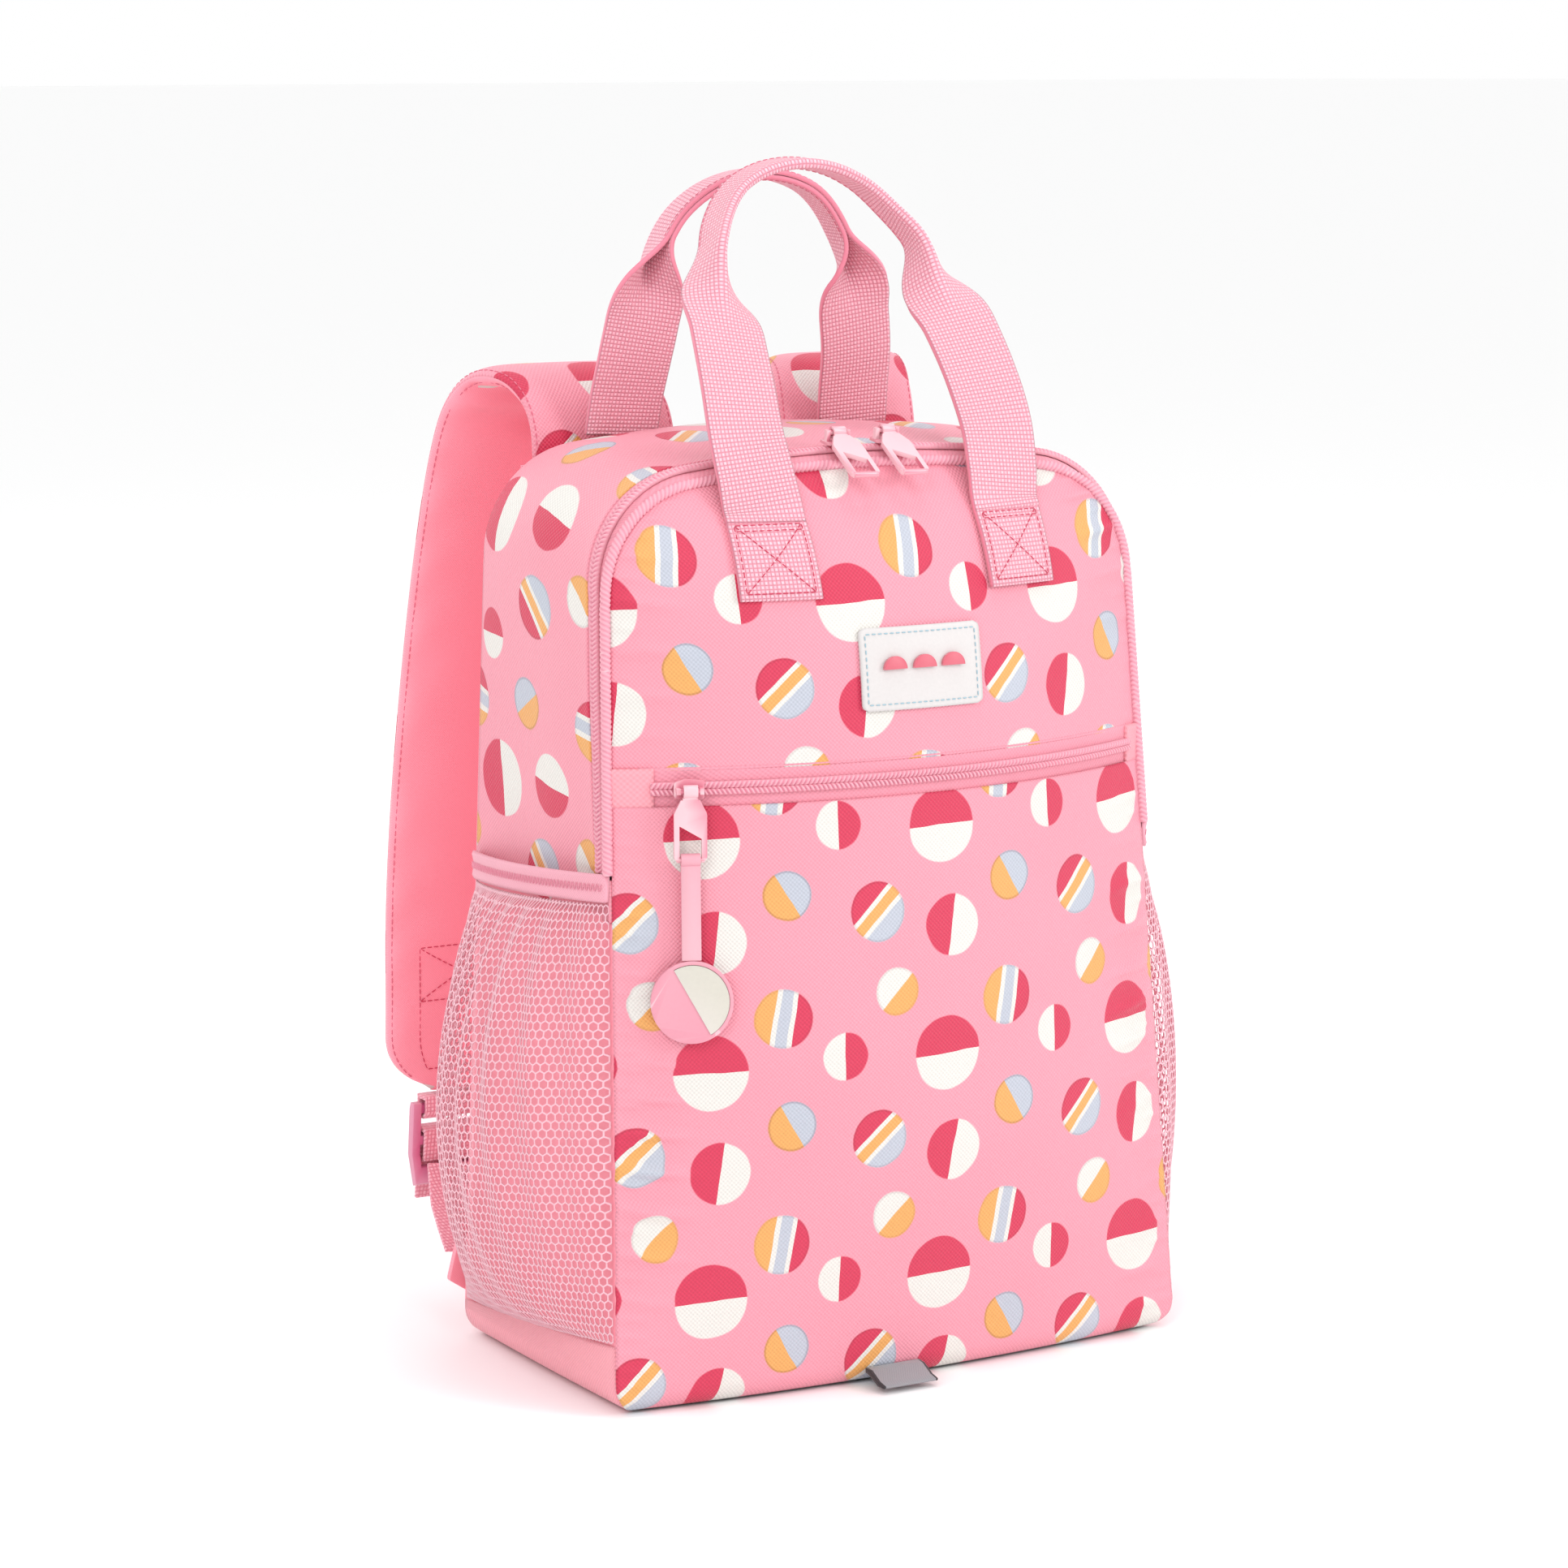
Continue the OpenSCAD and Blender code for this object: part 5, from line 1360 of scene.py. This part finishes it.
# for each side: the two skins, the foam core between them and their stitches
def makeStraps():
    plan = strapPlan
    for side, name in ((-1, "left"), (1, "right")):
        body = f"{name}_strap"
        for sign, part, node, slot, finish, creases in (
                (1, "face", "cover", "printed_polyester", printed, 0.0),
                (-1, "under", "lining", "plain_polyester", plain, plan["creases"])):
            grid, uv, _, up = strapSkin(side, sign, creases=creases)
            faces = facesAlong(grid, up)
            skin = makePiece(f"{body}_{part}", grid.reshape(-1, 3), faces, uv.reshape(-1, 2), faces)
            finished(thicken(skin, plan["cloth"]), body, slot, finish, f"{body}_{node}")
        high, low = (strapSkin(side, sign, shrink=plan["core"], count=90, columns=17)[0]
                     for sign in (1, -1))
        ring = np.concatenate([high[:, 1:-1], low[:, ::-1][:, 1:-1]], 1)
        core = surface(f"{body}_core", ring, wrapColumns=True, ends=True)
        finished(core, body, "foam", foamSheet, f"{body}_foam")
        top, _, _, up = strapSkin(side, 1)
        under, _, path, down = strapSkin(side, -1)
        columns = (plan["seamColumn"], under.shape[1] - 1 - plan["seamColumn"])
        edge = [(skin[3:-4, column], out[3:-4]) for skin, out in ((under, down), (top, up))
                for column in columns]
        finished(stitches(f"{body}_stitches", edge, radius=0.3), body, "printed_polyester",
                 threadPink)
        # the crossed box on the underside, and a second box below it
        r0, r1, r2 = (int(np.argmin(np.abs(path[plan["boxFrom"]:, 2] - h))) + plan["boxFrom"]
                      for h in plan["boxHeights"])
        c0, c1 = plan["boxColumn"], under.shape[1] - 1 - plan["boxColumn"]
        box = []
        for rows, columns in (((r0, r0), (c0, c1)), ((r1, r1), (c0, c1)), ((r0, r1), (c0, c0)),
                              ((r0, r1), (c1, c1)), ((r0, r1), (c0, c1)), ((r0, r1), (c1, c0)),
                              ((r2, r2), (c0, c1)), ((r1, r2), (c0, c0)), ((r1, r2), (c1, c1))):
            line = gridLine(under, rows, columns)
            out = down[np.linspace(rows[0], rows[1], len(line)).astype(int)]
            box.append((line + out * 0.1, out))
        cross = stitches(f"{body}_box", box, length=2.2, gap=0.7)
        finished(cross, body, "plain_polyester", threadDark)


yokePlan = {"rise": 0.3, "seam": 0.72, "seamInset": 5, "cloth": 0.8}


# a flat band bulging between its edges: the dome is a steep power of u times one of v
def makeYoke():
    low, high = (np.array(corner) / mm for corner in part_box("strap_yoke"))
    middle, half = (low + high) / 2, (high - low) / 2
    rise = yokePlan["rise"]
    x = np.linspace(low[0], high[0], 90)[None, :]
    z = np.linspace(low[2], high[2], 22)[:, None]
    u, v = (x - middle[0]) / half[0], (z - middle[2]) / half[2]
    dome = (1 - np.abs(u) ** 12) ** 0.5 * (1 - np.abs(v) ** 6) ** 0.5
    y = low[1] + rise + (high[1] - low[1] - rise) * dome
    grid = np.stack([x + 0 * y, y, z + 0 * y], -1)
    yoke = surface("yoke_band", grid, grid[..., ::2].copy(), away=(0, 40, middle[2]))
    finished(thicken(yoke, yokePlan["cloth"]), "bag", "plain_polyester", plain, "strap_yoke")
    x = np.linspace(low[0] + yokePlan["seamInset"], high[0] - yokePlan["seamInset"], 60)
    y = low[1] + rise + (high[1] - low[1] - rise) * (1 - yokePlan["seam"] ** 6) ** 0.5 + 0 * x
    rows = [(np.stack([x, y, middle[2] + share * half[2] + 0 * x], -1),
             np.tile([0.0, 1, 0], (len(x), 1))) for share in (-yokePlan["seam"], yokePlan["seam"])]
    finished(stitches("yoke_stitches", rows), "bag", "plain_polyester", threadPink)


makeStraps()
makeYoke()
print("straps ready")

for side in ("left", "right"):
    for part, width, slot, finish, ending in (
            ("ladder_lock", 0.45, "buckle_plastic", bucklePlastic, "moulded"),
            ("buckle_loop", 0.3, "webbing", webbingBlock, "sewn"),
            ("web_wrap", 0.3, "webbing", webbingBlock, "sewn"),
            ("web_lower", 0.3, "webbing", webbingBlock, "sewn"),
            ("anchor_tab", 0.9, "plain_polyester", tabCloth, "sewn")):
        node = f"{side}_{part}"
        piece = rounded(f"{node}_{ending}", node, width)
        finished(piece, nodes[node]["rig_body"], slot, finish, node)


tabPlan = {"halfFace": 11.3, "selvedge": rgb(58, 52, 56), "edge": 0.5}


# the tab's two dark selvedges: wherever it is further from its own middle than half its face
def darkenEdges(material, middle, half):
    tree = material.node_tree
    shader = tree.nodes["Principled BSDF"]
    ribbon = shader.inputs["Base Color"].links[0].from_socket
    place = addNode(tree, "ShaderNodeTexCoord").outputs["Object"]
    across = addNode(tree, "ShaderNodeSeparateXYZ", {0: place}).outputs[0]
    away = calc(tree, "ABSOLUTE", calc(tree, "SUBTRACT", across, middle * mm))
    edge = calc(tree, "GREATER_THAN", away, half * mm)
    tree.links.new(mixColour(tree, edge, ribbon, tabPlan["selvedge"]), shader.inputs["Base Color"])


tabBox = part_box("hem_tab")
darkenEdges(tabGrey, (tabBox[0].x + tabBox[1].x) / 2 / mm, tabPlan["halfFace"])
finished(rounded("hem_tab_folded", "hem_tab", tabPlan["edge"]), "bag", "hem_tab", tabGrey,
         "hem_tab")
print("buckles and tabs ready")
